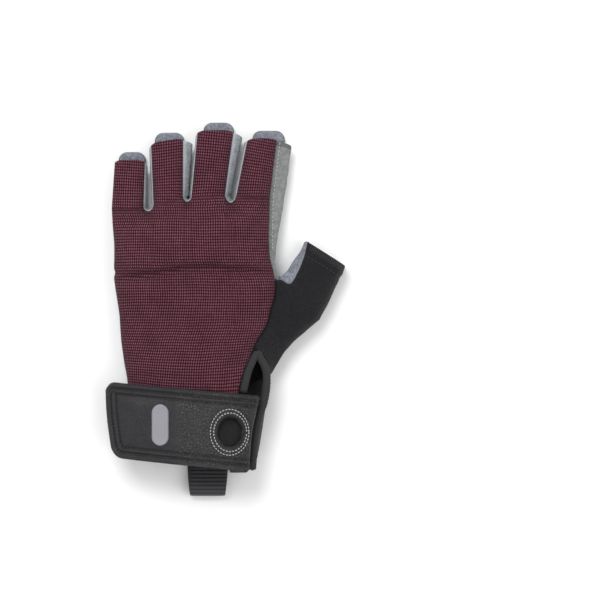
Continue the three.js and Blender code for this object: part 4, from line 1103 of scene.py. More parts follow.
def strap_surface(x, y, lift=0.0):
    edge = strap_edge(np.array([[x, y]]))
    z = strap_height(x) + float(strap_relief(np.array([x]), np.array([y]), edge)[0]) + lift
    slope = (strap_height(x + 0.3) - strap_height(x - 0.3)) / 0.6
    return vec(x, y, z), unit(vec(-slope, 0, 1))


# Rows of thread: each stitch is a short bent capsule that dips at both ends

STITCH_SIDES = 6
# share of the length, share of the width, lift in widths
STITCH_PROFILE = [
    (0, 0.25, -0.35), (0.12, 0.8, 0.12), (0.35, 1, 0.34), (0.65, 1, 0.34), (0.88, 0.8, 0.12), (1, 0.25, -0.35),
]


def stitches(name, rows):
    """rows is a list of (starts, ends, ups, width): a stitch runs from each start to its end."""
    positions, faces = [], []
    for starts, ends, ups, width in rows:
        for a, b, up in zip(starts, ends, ups):
            run = unit(b - a)
            side = unit(np.cross(run, up))
            out = unit(np.cross(side, run))
            length = np.linalg.norm(b - a)
            base = len(positions)
            for t, size, lift in STITCH_PROFILE:
                centre = a + run * length * t + out * width * lift
                for k in range(STITCH_SIDES):
                    angle = 2 * math.pi * k / STITCH_SIDES
                    round_it = side * math.cos(angle) + out * math.sin(angle) * 0.8
                    positions.append(centre + round_it * width / 2 * size)
            faces += tube_faces(base, len(STITCH_PROFILE), STITCH_SIDES)
    return make(name, (np.array(positions) + OFFSET) / 1000, faces)


def stitch_row(line, surface, length, gap, width, lift=0.0):
    """Stitches along a plan line, set on a surface that gives a point and its normal."""
    line = np.asarray(line, float)
    run = run_along(line[:, :2])
    starts, ends, ups = [], [], []
    at = gap / 2
    while at + length <= run[-1]:
        spots = [[np.interp(s, run, line[:, k]) for k in range(2)] for s in (at, at + length)]
        (a, up), (b, _) = surface(*spots[0]), surface(*spots[1])
        starts.append(a + up * lift)
        ends.append(b + up * lift)
        ups.append(up)
        at += length + gap
    return starts, ends, ups, width


def inset_line(line, distance, side=1):
    """A plan line moved sideways."""
    line = np.asarray(line, float)[:, :2]
    run = np.gradient(line, axis=0)
    run /= np.maximum(1e-9, np.linalg.norm(run, axis=1))[:, None]
    return line + side * distance * np.stack([-run[:, 1], run[:, 0]], axis=1)


def smooth_corner(line, reach=6):
    """Rounds a plan line's corners by averaging it over a few points."""
    kernel = np.ones(2 * reach + 1) / (2 * reach + 1)
    padded = np.concatenate([np.repeat(line[:1], reach, 0), line, np.repeat(line[-1:], reach, 0)])
    return np.stack([np.convolve(padded[:, k], kernel, "valid") for k in range(2)], axis=1)


def even_line(line, step=0.5):
    run = run_along(line)
    wanted = np.linspace(0, run[-1], max(2, int(run[-1] / step)))
    return np.stack([np.interp(wanted, run, line[:, k]) for k in range(line.shape[1])], axis=1)


def eyelet_ring(beside, above, shift):
    a, b = EYELET_BREADTH / 2 + beside, EYELET_LENGTH / 2 + above
    turns = np.linspace(0, 2 * math.pi, 121)
    return np.array([[EYELET[0] + shift + a * math.cos(t), EYELET[1] + b * math.sin(t)] for t in turns])


# Embroidered bar with round ends on the strap: satin stitch inside a cord edge

def build_badge():
    centre = vec(BADGE_X * KNUCKLE_BREADTH, BADGE_Y * HAND_LENGTH)
    across_count, rows = 16, 110
    grid = np.zeros((across_count + 1, rows + 1, 3))
    uv = np.zeros((across_count + 1, rows + 1, 2))
    straight = BADGE_LENGTH / 2 - BADGE_BREADTH / 2
    for j in range(rows + 1):
        y = (j / rows - 0.5) * BADGE_LENGTH
        past = max(0, abs(y) - straight) / (BADGE_BREADTH / 2)
        half = BADGE_BREADTH / 2 * math.sqrt(max(0.02, 1 - past * past))
        for i in range(across_count + 1):
            c = 2 * i / across_count - 1
            x = centre[0] + c * half
            # edge cords of satin stitch round a flatter middle, and the comb of the single threads
            from_edge = min(half * (1 - abs(c)), BADGE_LENGTH / 2 - abs(y))
            cord = 0.34 * bell(from_edge - 0.9, 0.7)
            comb = 0.05 * math.sin(2 * math.pi * (y + 0.5 * c) / 0.62)
            fall = -0.45 * (1 - ease(from_edge / 0.7))
            z = strap_height(x) + SEAM_GAP + BADGE_WALL - 0.12 + cord + comb + fall
            grid[i, j] = vec(x, centre[1] + y, z)
            uv[i, j] = (c * half, y)
    return shell("stitched_bar", grid, uv, BADGE_WALL, None, lambda i, j, inward: DOWN, rim=0.2)


# Rolled binding round the wrist slit

def binding_path():
    beside = BINDING_BREADTH / 2 + SEAM_GAP
    points = []
    for along in (0.01, 0.07, 0.13):
        edge = back_point(LAST, along)
        points.append(vec(edge[0] + beside, edge[1], edge[2] - BINDING_HEIGHT * 0.3))
    for x, y, height in BINDING_ROWS:
        points.append(vec(x * KNUCKLE_BREADTH, y * HAND_LENGTH, height * HAND_HEIGHT - BINDING_HEIGHT * 0.3))
    return smooth_line(points, 0.7)


def sweep(name, path, ring, relief):
    """Sweeps a closed ring of (sideways, upward) places along a path, with its ends drawn in."""
    run = np.gradient(path, axis=0)
    run /= np.linalg.norm(run, axis=1)[:, None]
    length = run_along(path)
    positions, uv = [], []
    n = len(ring)
    around = np.concatenate([[0], np.cumsum([math.dist(ring[k], ring[(k + 1) % n]) for k in range(n)])])
    for k, centre in enumerate(path):
        side = unit(np.cross(run[k], UP))
        high = unit(np.cross(side, run[k]))
        end = min(1, math.sqrt(max(0.02, min(length[k], length[-1] - length[k]))))
        for m, (a, b) in enumerate(ring):
            positions.append(centre + (side * a + high * b) * (1 + relief(length[k], m / n)) * end)
            uv.append((length[k], around[m]))
    return make(name, (np.array(positions) + OFFSET) / 1000, tube_faces(0, len(path), n), np.array(uv))


def build_binding():
    ring = []
    for k in range(20):
        angle = 2 * math.pi * k / 20
        a, b = math.cos(angle) * BINDING_BREADTH / 2, math.sin(angle) * BINDING_HEIGHT / 2
        ring.append((a, b if b > 0 else b * 0.25))

    def wrinkle(s, m):
        return 0.035 * math.sin(s * 2.3) * math.sin(s * 0.71 + 1) + 0.03 * math.sin(s * 5.1 + 9 * m)

    return sweep("rolled_binding", binding_path(), ring, wrinkle)


# Flat sewn plates: the patch and the fingertip tabs

def plate(name, outline, low, high, pillow=0.0, round_edge=0.35):
    outline = np.asarray(outline, float)
    centre = outline.mean(0)
    n = len(outline)
    rings = [0.25, 0.5, 0.72, 0.88, 0.96, 1.0]
    positions, uv, faces = [], [], []

    def ring_of(share, z):
        start = len(positions)
        for p in outline:
            q = centre + (p - centre) * share
            positions.append(vec(q[0], q[1], z))
            uv.append(q)
        return start

    def band(a, b):
        for k in range(n):
            m = (k + 1) % n
            faces.append([a + k, a + m, b + m, b + k])

    edge = (high - low) * round_edge
    top_centre = len(positions)
    positions.append(vec(centre[0], centre[1], high + pillow))
    uv.append(centre)
    fall = {1.0: edge, 0.96: 0.12 * edge}
    starts = [ring_of(s, high + pillow * (1 - s ** 3) - fall.get(s, 0)) for s in rings]
    bulge = ring_of(1 + 0.25 * edge / np.linalg.norm(outline - centre, axis=1).mean(), (low + high) / 2)
    bottom = [ring_of(s, low + fall.get(s, 0)) for s in reversed(rings)]
    last = len(positions)
    positions.append(vec(centre[0], centre[1], low))
    uv.append(centre)
    chain = starts + [bulge] + bottom
    for a, b in zip(chain[:-1], chain[1:]):
        band(a, b)
    for k in range(n):
        m = (k + 1) % n
        faces.append([top_centre, starts[0] + m, starts[0] + k])
        faces.append([last, bottom[-1] + k, bottom[-1] + m])
    return make(name, (np.array(positions) + OFFSET) / 1000, faces, np.array(uv))


FINGER_TIPS = [
    HAND_LENGTH * (1 + (stall["left"] + stall["right"]) / 2) + stall["length"] * FINGER_LENGTH for stall in FINGERS
]


def tab_outline(f):
    stall = FINGERS[f]
    half = stall["tab"] * KNUCKLE_BREADTH / 2
    start = finger_start[f]
    centre = (plan(start, 2) + plan(start + FINGER_COLUMNS, 2)) / 2

    def corner(side, turns):
        return [(side * (half - TAB_CORNER * (1 - math.cos(t))), TAB_REACH - TAB_CORNER * (1 - math.sin(t)))
                for t in turns]

    points = [(-half + 2 * half * k / 12, 0) for k in range(13)]
    points += [(half, (TAB_REACH - TAB_CORNER) * k / 5) for k in range(1, 6)]
    points += corner(1, np.linspace(0, math.pi / 2, 7)[1:])
    points += [(half - TAB_CORNER - (2 * half - 2 * TAB_CORNER) * k / 8, TAB_REACH) for k in range(1, 9)]
    points += corner(-1, np.linspace(math.pi / 2, 0, 7)[1:])
    points += [(-half, (TAB_REACH - TAB_CORNER) * (1 - k / 5)) for k in range(1, 5)]
    base = np.array([centre[0] + stall["tab_set"] * KNUCKLE_BREADTH, FINGER_TIPS[f] - PALM_SETBACK + SEAM_GAP])
    return np.array(points) + base, base, half


# Webbing folded back on itself

def centripetal(points, count):
    points = [np.array(p, float) for p in points]
    out = []
    last = len(points) - 1
    for n in range(count + 1):
        t = n / count * last
        k = min(last - 1, int(t))
        s = t - k
        p1, p2 = points[k], points[k + 1]
        p0 = points[k - 1] if k > 0 else 2 * p1 - p2
        p3 = points[k + 2] if k + 2 <= last else 2 * p2 - p1
        d0, d1, d2 = (max(1e-4, np.linalg.norm(b - a) ** 0.5) for a, b in ((p0, p1), (p1, p2), (p2, p3)))
        m1 = ((p1 - p0) / d0 - (p2 - p0) / (d0 + d1) + (p2 - p1) / d1) * d1
        m2 = ((p2 - p1) / d1 - (p3 - p1) / (d1 + d2) + (p3 - p2) / d2) * d1
        out.append(hermite(p1, p2, m1, m2, 1, s))
    return np.array(out)


LOOP_STEP = 0.4
LOOP_COLUMNS = 14
WEBBING_RIB = 2.1


def build_loop(name, centre_x, breadth, reach, opening, start, skew=0.0):
    """start is where the webbing's end lies. It leaves the cuff at the knee."""
    knee = -CUFF_WIDTH
    end = -CUFF_WIDTH - reach
    low = WEBBING_WALL / 2
    high = low + WEBBING_WALL + SEAM_GAP
    crown = low + opening + WEBBING_WALL
    radius = (crown - low) / 2

    def past(share):
        return mix(knee, end + WEBBING_WALL / 2 + radius, share)

    line = centripetal([
        (start, high), (mix(start, knee, 0.8), high), (knee, high), (past(0.5), mix(high, crown, 0.62)),
        (past(1), crown), (end + WEBBING_WALL / 2, low + radius), (past(1), low), (past(0.3), low),
        (mix(start, knee, 0.8), low), (start, low),
    ], 900)
    line = even_line(line, LOOP_STEP)
    line[:, 1] = np.maximum(low, line[:, 1])
    run = np.gradient(line, axis=0)
    run /= np.linalg.norm(run, axis=1)[:, None]
    length = np.arange(len(line)) * LOOP_STEP
    wide = LOOP_COLUMNS
    grid = np.zeros((len(line), wide + 1, 3))
    uv = np.zeros((len(line), wide + 1, 2))
    for j in range(wide + 1):
        c = j / wide - 0.5
        thick = WEBBING_WALL / 2 * (0.82 + 0.18 * math.cos(math.pi * c) ** 0.5 if abs(c) < 0.5 else 0.82)
        from_edge = (0.5 - abs(c)) * breadth
        ribs = 0.09 * np.cos(2 * math.pi * length / WEBBING_RIB) * (1 - bell(from_edge, 1.2))
        out = thick + 0.1 * bell(from_edge, 0.9) + ribs
        narrow = 1 - 0.06 * bell(length / length[-1] - 0.5, 0.06)
        grid[:, j, 0] = centre_x + c * breadth * narrow + skew * ease_all(length / length[-1] * 2 - 0.5)
        grid[:, j, 1] = line[:, 0] + run[:, 1] * out
        grid[:, j, 2] = np.maximum(0.02, line[:, 1] - run[:, 0] * out)
        uv[:, j] = np.stack([length, np.full(len(line), c * breadth)], axis=1)
    ways = np.stack([np.zeros(len(line)), -run[:, 1], run[:, 0]], axis=1)
    return shell(name, grid, uv, WEBBING_WALL, None, lambda i, j, inward: ways[i], rim=0.4)


# Materials

class Tree:
    """Adds nodes to a material and joins them."""

    def __init__(self, name):
        self.material = bpy.data.materials.new(name)
        self.material.use_nodes = True
        self.nodes = self.material.node_tree.nodes
        self.links = self.material.node_tree.links
        self.shader = self.nodes["Principled BSDF"]

    def add(self, kind, **settings):
        node = self.nodes.new(kind)
        for key, value in settings.items():
            setattr(node, key, value)
        return node

    def set(self, socket, value):
        if isinstance(value, bpy.types.NodeSocket):
            self.links.new(value, socket)
        elif value is not None:
            socket.default_value = value

    def math(self, operation, a, b=None, clamp=False):
        node = self.add("ShaderNodeMath", operation=operation, use_clamp=clamp)
        self.set(node.inputs[0], a)
        if b is not None:
            self.set(node.inputs[1], b)
        return node.outputs[0]

    def times(self, a, b):
        return self.math("MULTIPLY", a, b)

    def uv(self):
        node = self.add("ShaderNodeTexCoord")
        split = self.add("ShaderNodeSeparateXYZ")
        self.links.new(node.outputs["UV"], split.inputs[0])
        return split.outputs[0], split.outputs[1]

    def place(self):
        """The place on the object, in millimetres."""
        node = self.add("ShaderNodeTexCoord")
        scale = self.add("ShaderNodeVectorMath", operation="SCALE")
        self.links.new(node.outputs["Object"], scale.inputs[0])
        scale.inputs["Scale"].default_value = 1000
        return scale.outputs[0]

    def noise(self, vector, size, detail=2.0, rough=0.5):
        node = self.add("ShaderNodeTexNoise")
        self.set(node.inputs["Vector"], vector)
        node.inputs["Scale"].default_value = 1 / size
        node.inputs["Detail"].default_value = detail
        node.inputs["Roughness"].default_value = rough
        return node.outputs[0]

    def cells(self, vector, size, feature="F1"):
        node = self.add("ShaderNodeTexVoronoi", feature=feature)
        self.set(node.inputs["Vector"], vector)
        node.inputs["Scale"].default_value = 1 / size
        return node.outputs["Distance"]

    def span(self, value, low, high, new_low=0.0, new_high=1.0):
        node = self.add("ShaderNodeMapRange")
        self.set(node.inputs["Value"], value)
        for key, number in (("From Min", low), ("From Max", high), ("To Min", new_low), ("To Max", new_high)):
            node.inputs[key].default_value = number
        return node.outputs[0]

    def mix(self, factor, a, b, kind="MIX"):
        node = self.add("ShaderNodeMix", data_type="RGBA", blend_type=kind)
        self.set(node.inputs["Factor"], factor)
        for socket, value in ((node.inputs[6], a), (node.inputs[7], b)):
            if isinstance(value, tuple):
                value = (*value, 1) if len(value) == 3 else value
            self.set(socket, value)
        return node.outputs[2]

    def wave(self, value, pitch, phase=0.0):
        """A smooth wave from 0 to 1 along a length in millimetres."""
        turn = self.math("ADD", self.math("MULTIPLY", value, 2 * math.pi / pitch), phase)
        return self.span(self.math("COSINE", turn), -1, 1)

    def bump(self, *layers):
        """Each layer is a height from 0 to 1 and its depth in millimetres."""
        normal = None
        for height, depth in layers:
            node = self.add("ShaderNodeBump")
            node.inputs["Strength"].default_value = 1
            node.inputs["Distance"].default_value = depth / 1000
            self.links.new(height, node.inputs["Height"])
            if normal is not None:
                self.links.new(normal, node.inputs["Normal"])
            normal = node.outputs[0]
        self.links.new(normal, self.shader.inputs["Normal"])

    def done(self, colour, roughness, sheen=0.0, specular=0.5, sheen_roughness=0.5):
        self.set(self.shader.inputs["Base Color"], colour)
        self.set(self.shader.inputs["Roughness"], roughness)
        self.shader.inputs["Sheen Weight"].default_value = sheen
        self.shader.inputs["Sheen Roughness"].default_value = sheen_roughness
        self.shader.inputs["Specular IOR Level"].default_value = specular
        return self.material


def knit_material():
    t = Tree("waffle_knit")
    u, v = t.uv()
    place = t.place()
    sway = t.span(t.noise(place, 22, 1), 0, 1, -0.6, 0.6)
    rows = t.wave(t.math("ADD", v, sway), 1.55)
    wales = t.wave(t.math("ADD", u, t.span(t.noise(place, 24, 1), 0, 1, -0.6, 0.6)), 1.27)
    # each cell of the waffle is a raised bead with grooves on all four sides
    cell = t.times(t.span(rows, 0, 1, 0.08, 1), t.span(wales, 0, 1, 0.0, 1))
    fibre = t.noise(place, 0.35, 3, 0.7)
    worn = t.noise(place, 9, 3)
    uneven = t.noise(place, 1.5, 2, 0.6)
    # the colour follows the beads' height: the knit's own cell pattern, with painted shade in its grooves
    value = t.times(cell, t.span(fibre, 0.25, 0.75, 0.75, 1.15))
    value = t.times(value, t.span(uneven, 0.3, 0.7, 0.75, 1.2))
    colour = t.mix(value, (0.022, 0.0025, 0.007), (0.262, 0.103, 0.137))
    colour = t.mix(t.span(worn, 0.35, 0.65), colour, t.mix(1.0, colour, (0.84, 0.82, 0.84), "MULTIPLY"))
    t.bump((cell, 0.3), (fibre, 0.05))
    return t.done(colour, t.span(fibre, 0, 1, 0.85, 1), sheen=0.03, specular=0.08)


def suede_material(name, base, deep, depth=0.1, wall=None):
    """wall, for the side walls, is the share of lighter cut edge along both seams."""
    t = Tree(name)
    place = t.place()
    fibre = t.noise(place, 0.45, 4, 0.75)
    nap = t.noise(place, 1.3, 3, 0.75)
    patch = t.noise(place, 4, 3, 0.65)
    shade = t.noise(place, 16, 2)
    value = t.times(t.span(fibre, 0.3, 0.7, 0.45, 1), t.span(nap, 0.38, 0.62, 0.3, 1))
    value = t.times(value, t.span(patch, 0.38, 0.62, 0.6, 1))
    colour = t.mix(value, deep, base)
    colour = t.mix(t.span(shade, 0.35, 0.7), colour, t.mix(1.0, colour, (0.88, 0.9, 0.93), "MULTIPLY"))
    if wall:
        _, v = t.uv()
        trim = t.math("MAXIMUM", t.span(v, 7.4, 8.4), t.span(v, 1.2, 0.4))
        colour = t.mix(t.times(trim, wall), colour, (0.5, 0.53, 0.56))
    t.bump((nap, depth * 1.6), (fibre, depth))
    return t.done(colour, t.span(fibre, 0, 1, 0.85, 1), sheen=0.1, specular=0.15)


def side_material():
    """The index finger's side wall, greener, with a darker hem folded over at its open end."""
    t = Tree("index_side_suede")
    u, _ = t.uv()
    place = t.place()
    fibre = t.noise(place, 0.4, 4, 0.75)
    nap = t.noise(place, 2.4, 3, 0.6)
    value = t.times(t.span(fibre, 0.3, 0.7, 0.55, 1), t.span(nap, 0.38, 0.62, 0.5, 1))
    colour = t.mix(value, (0.105, 0.109, 0.106), (0.262, 0.273, 0.268))
    hem = t.span(u, 2.5, 2.1)
    colour = t.mix(t.times(hem, 0.62), colour, (0.07, 0.075, 0.068))
    t.bump((nap, 0.1), (fibre, 0.06))
    return t.done(colour, t.span(fibre, 0, 1, 0.8, 1), sheen=0.08, specular=0.15)


def weave_material(name, dark, light, pitch=0.62, depth=0.09, roughness=(0.7, 0.9), sheen=0.08, mottle=0.55):
    t = Tree(name)
    u, v = t.uv()
    place = t.place()
    warp = t.wave(u, pitch)
    weft = t.wave(v, pitch, 1.3)
    cloth = t.math("ABSOLUTE", t.math("SUBTRACT", warp, weft))
    fibre = t.noise(place, 0.35, 3, 0.7)
    shade = t.noise(place, 7, 2)
    lint = t.noise(place, 1.3, 3, 0.7)
    # the colour darkens where the weave is low: its own pattern, with painted shade in its hollows
    value = t.times(t.span(cloth, 0, 1, 0.35, 1), t.span(fibre, 0.2, 0.8, 0.55, 1))
    value = t.times(value, t.span(lint, 0.35, 0.65, mottle, 1.15))
    colour = t.mix(t.times(value, t.span(shade, 0.3, 0.7, 0.8, 1)), dark, light)
    t.bump((cloth, depth), (fibre, depth * 0.8), (lint, depth))
    return t.done(colour, t.span(fibre, 0, 1, *roughness), sheen=sheen, specular=0.25)


def ribbed_material(name, lean, pitch, power, thread, low, size, dark, light,
                    depth, fine, roughness, sheen, specular):
    """Ribs across the length, or leaning along it, and finer threads along them."""
    t = Tree(name)
    u, v = t.uv()
    ribs = t.wave(t.math("ADD", u, t.times(v, lean)), pitch)
    threads = t.wave(v, thread)
    fibre = t.noise(t.place(), size, 3, 0.7)
    height = t.times(t.math("POWER", ribs, power), t.span(threads, 0, 1, low, 1))
    # the colour darkens where the ribs and threads are low: the weave's own pattern, with painted shade in its
    # grooves
    colour = t.mix(t.times(height, t.span(fibre, 0.2, 0.8, 0.6, 1)), dark, light)
    t.bump((height, depth), (fibre, fine))
    return t.done(colour, t.span(fibre, 0, 1, *roughness), sheen=sheen, specular=specular)


def leather_material():
    t = Tree("pebbled_leather")
    place = t.place()
    bent = t.add("ShaderNodeVectorMath", operation="ADD")
    wobble = t.add("ShaderNodeTexNoise")
    t.links.new(place, wobble.inputs["Vector"])
    wobble.inputs["Scale"].default_value = 1.1
    t.links.new(place, bent.inputs[0])
    t.links.new(wobble.outputs[1], bent.inputs[1])
    grain = t.math("POWER", t.span(t.cells(bent.outputs[0], 1.45, "DISTANCE_TO_EDGE"), 0, 0.24), 0.6)
    small = t.span(t.cells(bent.outputs[0], 0.5, "DISTANCE_TO_EDGE"), 0, 0.25)
    wear = t.noise(place, 6, 3)
    lump = t.noise(place, 1.9, 2)
    # the strap's free end is smooth and duller, the rest pebbled and half gloss
    x = t.add("ShaderNodeSeparateXYZ")
    t.links.new(place, x.inputs[0])
    pebbled = t.span(x.outputs[0], SMOOTH_END, PEBBLE_START)
    height = t.times(grain, t.span(pebbled, 0, 1, 0.08, 1))
    light = t.mix(pebbled, (0.0125, 0.0116, 0.0144), (0.0335, 0.0335, 0.035))
    # past this span the leather is painted darker: painted shade over the strap's right part
    light = t.mix(t.span(x.outputs[0], *SHADE_SPAN), light, (0.02, 0.0195, 0.0215))
    # the colour is darkest in the creases between the pebbles: the grain's own pattern, with painted shade in its
    # creases
    value = t.times(t.span(grain, 0, 1, 0.3, 1), t.span(lump, 0.3, 0.7, 0.65, 1.15))
    colour = t.mix(value, (0.006, 0.0056, 0.0066), light)
    t.bump((height, 0.42), (small, 0.04), (lump, 0.22))
    rough = t.math("ADD", t.span(grain, 0, 1, 0.55, 0.4), t.span(wear, 0.3, 0.7, -0.05, 0.08))
    rough = t.math("ADD", rough, t.span(pebbled, 0, 1, 0.2, 0))
    return t.done(colour, rough, specular=0.5)


def thread_material(name, colour, dark):
    t = Tree(name)
    place = t.place()
    twist = t.noise(place, 0.22, 2, 0.6)
    value = t.mix(t.span(twist, 0.3, 0.7), dark, colour)
    t.bump((twist, 0.04))
    return t.done(value, t.span(twist, 0, 1, 0.45, 0.7), sheen=0.1, specular=0.4)


def satin_material():
    t = Tree("satin_stitch")
    u, v = t.uv()
    place = t.place()
    comb = t.wave(t.math("ADD", v, t.times(u, 0.12)), 0.42)
    fibre = t.noise(place, 0.25, 2, 0.6)
    # the colour darkens between the comb's threads: the stitch's own pattern, with painted shade in the grooves
    # between them
    value = t.times(t.span(comb, 0, 1, 0.45, 1), t.span(fibre, 0.2, 0.8, 0.7, 1))
    colour = t.mix(value, (0.13, 0.125, 0.14), (0.44, 0.43, 0.47))
    t.bump((comb, 0.16), (fibre, 0.04))
    return t.done(colour, t.span(fibre, 0, 1, 0.4, 0.6), sheen=0.1, specular=0.5)


KNIT = knit_material()
SUEDE = suede_material("palm_suede", (0.375, 0.395, 0.45), (0.095, 0.1, 0.12))
SIDE_SUEDE = suede_material("side_suede", (0.47, 0.5, 0.53), (0.13, 0.141, 0.152), 0.08, 0.6)
INDEX_SUEDE = side_material()
BLACK_CLOTH = weave_material("black_cloth", (0.002, 0.0018, 0.0026), (0.0195, 0.0188, 0.0235), 1.0, 0.3,
                             mottle=0.2)
CUFF_CLOTH = weave_material("cuff_cloth", (0.004, 0.004, 0.005), (0.017, 0.017, 0.019), 0.9, 0.1)
BINDING_CLOTH = weave_material("binding_cloth", (0.011, 0.0105, 0.0115), (0.034, 0.033, 0.036), 0.5, 0.05,
                               (0.5, 0.72), mottle=0.8)
ELASTIC = ribbed_material("twill_elastic", 0.9, 1.5, 0.7, 0.5, 0.6, 0.35, (0.0075, 0.0075, 0.009),
                          (0.042, 0.042, 0.048), 0.28, 0.05, (0.65, 0.85), 0.06, 0.35)
WEBBING = ribbed_material("ribbed_webbing", 0, WEBBING_RIB, 0.6, 0.62, 0.55, 0.3, (0.008, 0.008, 0.0095),
                          (0.06, 0.06, 0.066), 0.22, 0.04, (0.55, 0.8), 0.05, 0.4)
LEATHER = leather_material()
SATIN = satin_material()
GREY_THREAD = thread_material("grey_thread", (0.62, 0.63, 0.64), (0.3, 0.305, 0.31))
BLACK_THREAD = thread_material("black_thread", (0.016, 0.016, 0.018), (0.003, 0.003, 0.0035))
DARK_THREAD = thread_material("dark_thread", (0.04, 0.04, 0.043), (0.008, 0.008, 0.009))
PALM_THREAD = thread_material("palm_thread", (0.3, 0.33, 0.38), (0.16, 0.18, 0.21))


# Pieces

back = finish_piece(build_back(), "knit", KNIT, "back_panel")
palm = finish_piece(build_palm(), "suede", SUEDE, "palm_panel")
sides = []
for seam, crotch in zip(crotch_seams, CROTCHES):
    piece = build_side(f"side_wall_{crotch['name']}", seam, fourchette_bulge(seam, crotch["bulge"]))
    sides.append(finish_piece(piece, "suede", SIDE_SUEDE, f"fourchette_{crotch['name']}"))
index_wall = build_side("side_wall_index", index_seam, index_bulge, 16)
index_side = finish_piece(index_wall, "suede", INDEX_SUEDE, "index_side_panel")
thumb_piece, thumb_grid = build_thumb()
thumb = finish_piece(thumb_piece, "black_cloth", BLACK_CLOTH, "thumb_back")
cuff = finish_piece(build_cuff_base(), "black_cloth", CUFF_CLOTH, "cuff_base")
band = finish_piece(build_elastic(), "elastic", ELASTIC, "cuff_elastic")
strap = finish_piece(build_strap(), "strap_leather", LEATHER, "closure_strap")
finish_piece(build_badge(), "thread", SATIN, "strap_badge")
finish_piece(build_binding(), "binding", BINDING_CLOTH, "slit_binding")
patch_corners = [(x * KNUCKLE_BREADTH, y * HAND_LENGTH) for x, y in PATCH_OUTLINE]
patch_line = smooth_line(patch_corners, 1.0, closed=True)[:-1]
patch = plate("suede_patch", patch_line, FINGER_LIFT - SEAM_GAP - PATCH_WALL, FINGER_LIFT - SEAM_GAP)
finish_piece(patch, "suede", SUEDE, "palm_patch")
tabs = []
for f, finger in enumerate(FINGERS):
    outline, base, half = tab_outline(f)
    tab = plate(f"suede_tab_{finger['name']}", outline, FINGER_LIFT, FINGER_LIFT + TAB_WALL,
                pillow=0.5, round_edge=0.5)
    tabs.append(finish_piece(tab, "suede", SUEDE, f"tab_{finger['name']}"))
pull = build_loop("webbing_pull_loop", PULL_LOOP_X * KNUCKLE_BREADTH, WEBBING_WIDTH, LOOP_REACH, LOOP_OPENING,
                  -SEAM_GAP * 2, skew=-2)
finish_piece(pull, "webbing", WEBBING, "pull_loop")
for name, x, breadth, reach, opening in HANG_LOOPS:
    centre_x = PULL_LOOP_X * KNUCKLE_BREADTH + x * WEBBING_WIDTH
    loop = build_loop(f"webbing_{name}", centre_x, breadth * WEBBING_WIDTH, reach * LOOP_REACH,
                      opening, -CUFF_WIDTH + HANG_LOOP_TUCK)
    finish_piece(loop, "webbing", WEBBING, name)


# Threads

def path_stitches(points, ups, length, gap, width, lift=0.0):
    """Stitches along a line in space."""
    points, ups = np.asarray(points, float), np.asarray(ups, float)
    run = run_along(points)

    def at(s, values):
        return np.array([np.interp(s, run, values[:, k]) for k in range(3)])

    starts, ends, out = [], [], []
    s = gap / 2
    while s + length <= run[-1]:
        up = unit(at(s + length / 2, ups))
        starts.append(at(s, points) + up * lift)
        ends.append(at(s + length, points) + up * lift)
        out.append(up)
        s += length + gap
    return starts, ends, out, width


outline = strap_outline()
rows = []
for inset in SEWN_LINES:
    line = even_line(inset_line(even_line(outline), inset, 1))
    line = even_line(smooth_corner(line, 7))
    rows.append(stitch_row(line, strap_surface, 1.35, 0.6, 0.8, 0.18))
finish_piece(stitches("strap_border_thread", rows), "thread", BLACK_THREAD)
rings = [stitch_row(eyelet_ring(1.8, 2.0, 0), strap_surface, 1.15, 0.55, 0.55, 0.14),
         stitch_row(eyelet_ring(3.3, 3.95, -0.3), strap_surface, 1.15, 0.55, 0.5, 0.14)]
finish_piece(stitches("eyelet_thread", rings), "thread", GREY_THREAD)

# down the index finger's side wall, just inside the knit edge
side_points, side_ups = [], []
for k, (i, j, normal) in enumerate(index_seam):
    if along_at(j) < 0.72:
        break
    low = palm_hand_point(i, along_at(j)) + vec(0, 0, SEAM_GAP)
    high = back_point(i, along_at(j)) - vec(0, 0, SEAM_GAP)
    # the row keeps 1.5 mm outside the knit's edge
    shares = np.linspace(1, 0.6, 80)
    down = [mix(low, high, q) + normal * index_bulge(k) * math.sin(math.pi * q) for q in shares]
    away = np.array([np.linalg.norm((p - high)[:2]) for p in down])
    side_points.append(down[int(np.argmin(np.abs(away - 1.5)))])
    side_ups.append(unit(normal * 0.5 + UP))
side_rows = [path_stitches(side_points, side_ups, 1.35, 0.75, 0.5, 0.3)]
finish_piece(stitches("index_side_thread", side_rows), "thread", GREY_THREAD)

# the thumb's hem: a sewn line and the threads over its edge
hem_row = int(LOWER_ROWS + UPPER_ROWS * HEM_START)
hem_points = thumb_grid[1:34, hem_row]
hem_ups = [UP] * len(hem_points)
hem_line = path_stitches(hem_points, hem_ups, 1.6, 0.7, 0.42, 0.45)
dense_inner, dense_edge = (even_line(thumb_grid[1:40, row], 1.15) for row in (hem_row + 3, -1))
count = min(len(dense_inner), len(dense_edge)) - 1
over = (dense_inner[:count] + UP * 0.45, dense_edge[1:count + 1] + UP * 0.3, [UP] * count, 0.42)
finish_piece(stitches("thumb_hem_thread", [hem_line, over]), "thread", DARK_THREAD)

# quilting and a row round the outside of the patch, under the palm
palm_rows = []
for line in QUILTING:
    points = even_line(np.array([(p[0], p[1], 0.62) for p in line]))
    palm_rows.append(path_stitches(points, [DOWN] * len(points), 1.7, 0.8, 0.4))
beside_patch = inset_line(np.concatenate([patch_line, patch_line[:2]]), 1.6, -1)
points = np.array([(p[0], p[1], 0.2) for p in beside_patch])
palm_rows.append(path_stitches(points, [DOWN] * len(points), 1.7, 0.8, 0.3))
for f in range(4):
    _, base, half = tab_outline(f)
    zigzag = np.array([(base[0] - half + 1 + k * (2 * half - 2) / 14, base[1] - 2.6 + (1.1 if k % 2 else -0.6), 1.25)
                       for k in range(15)])
    palm_rows.append(path_stitches(zigzag, [DOWN] * 15, 1.25, 0.25, 0.36))
finish_piece(stitches("palm_thread", palm_rows), "thread", PALM_THREAD)

# Cloth and leather as they would lie flat, in metres

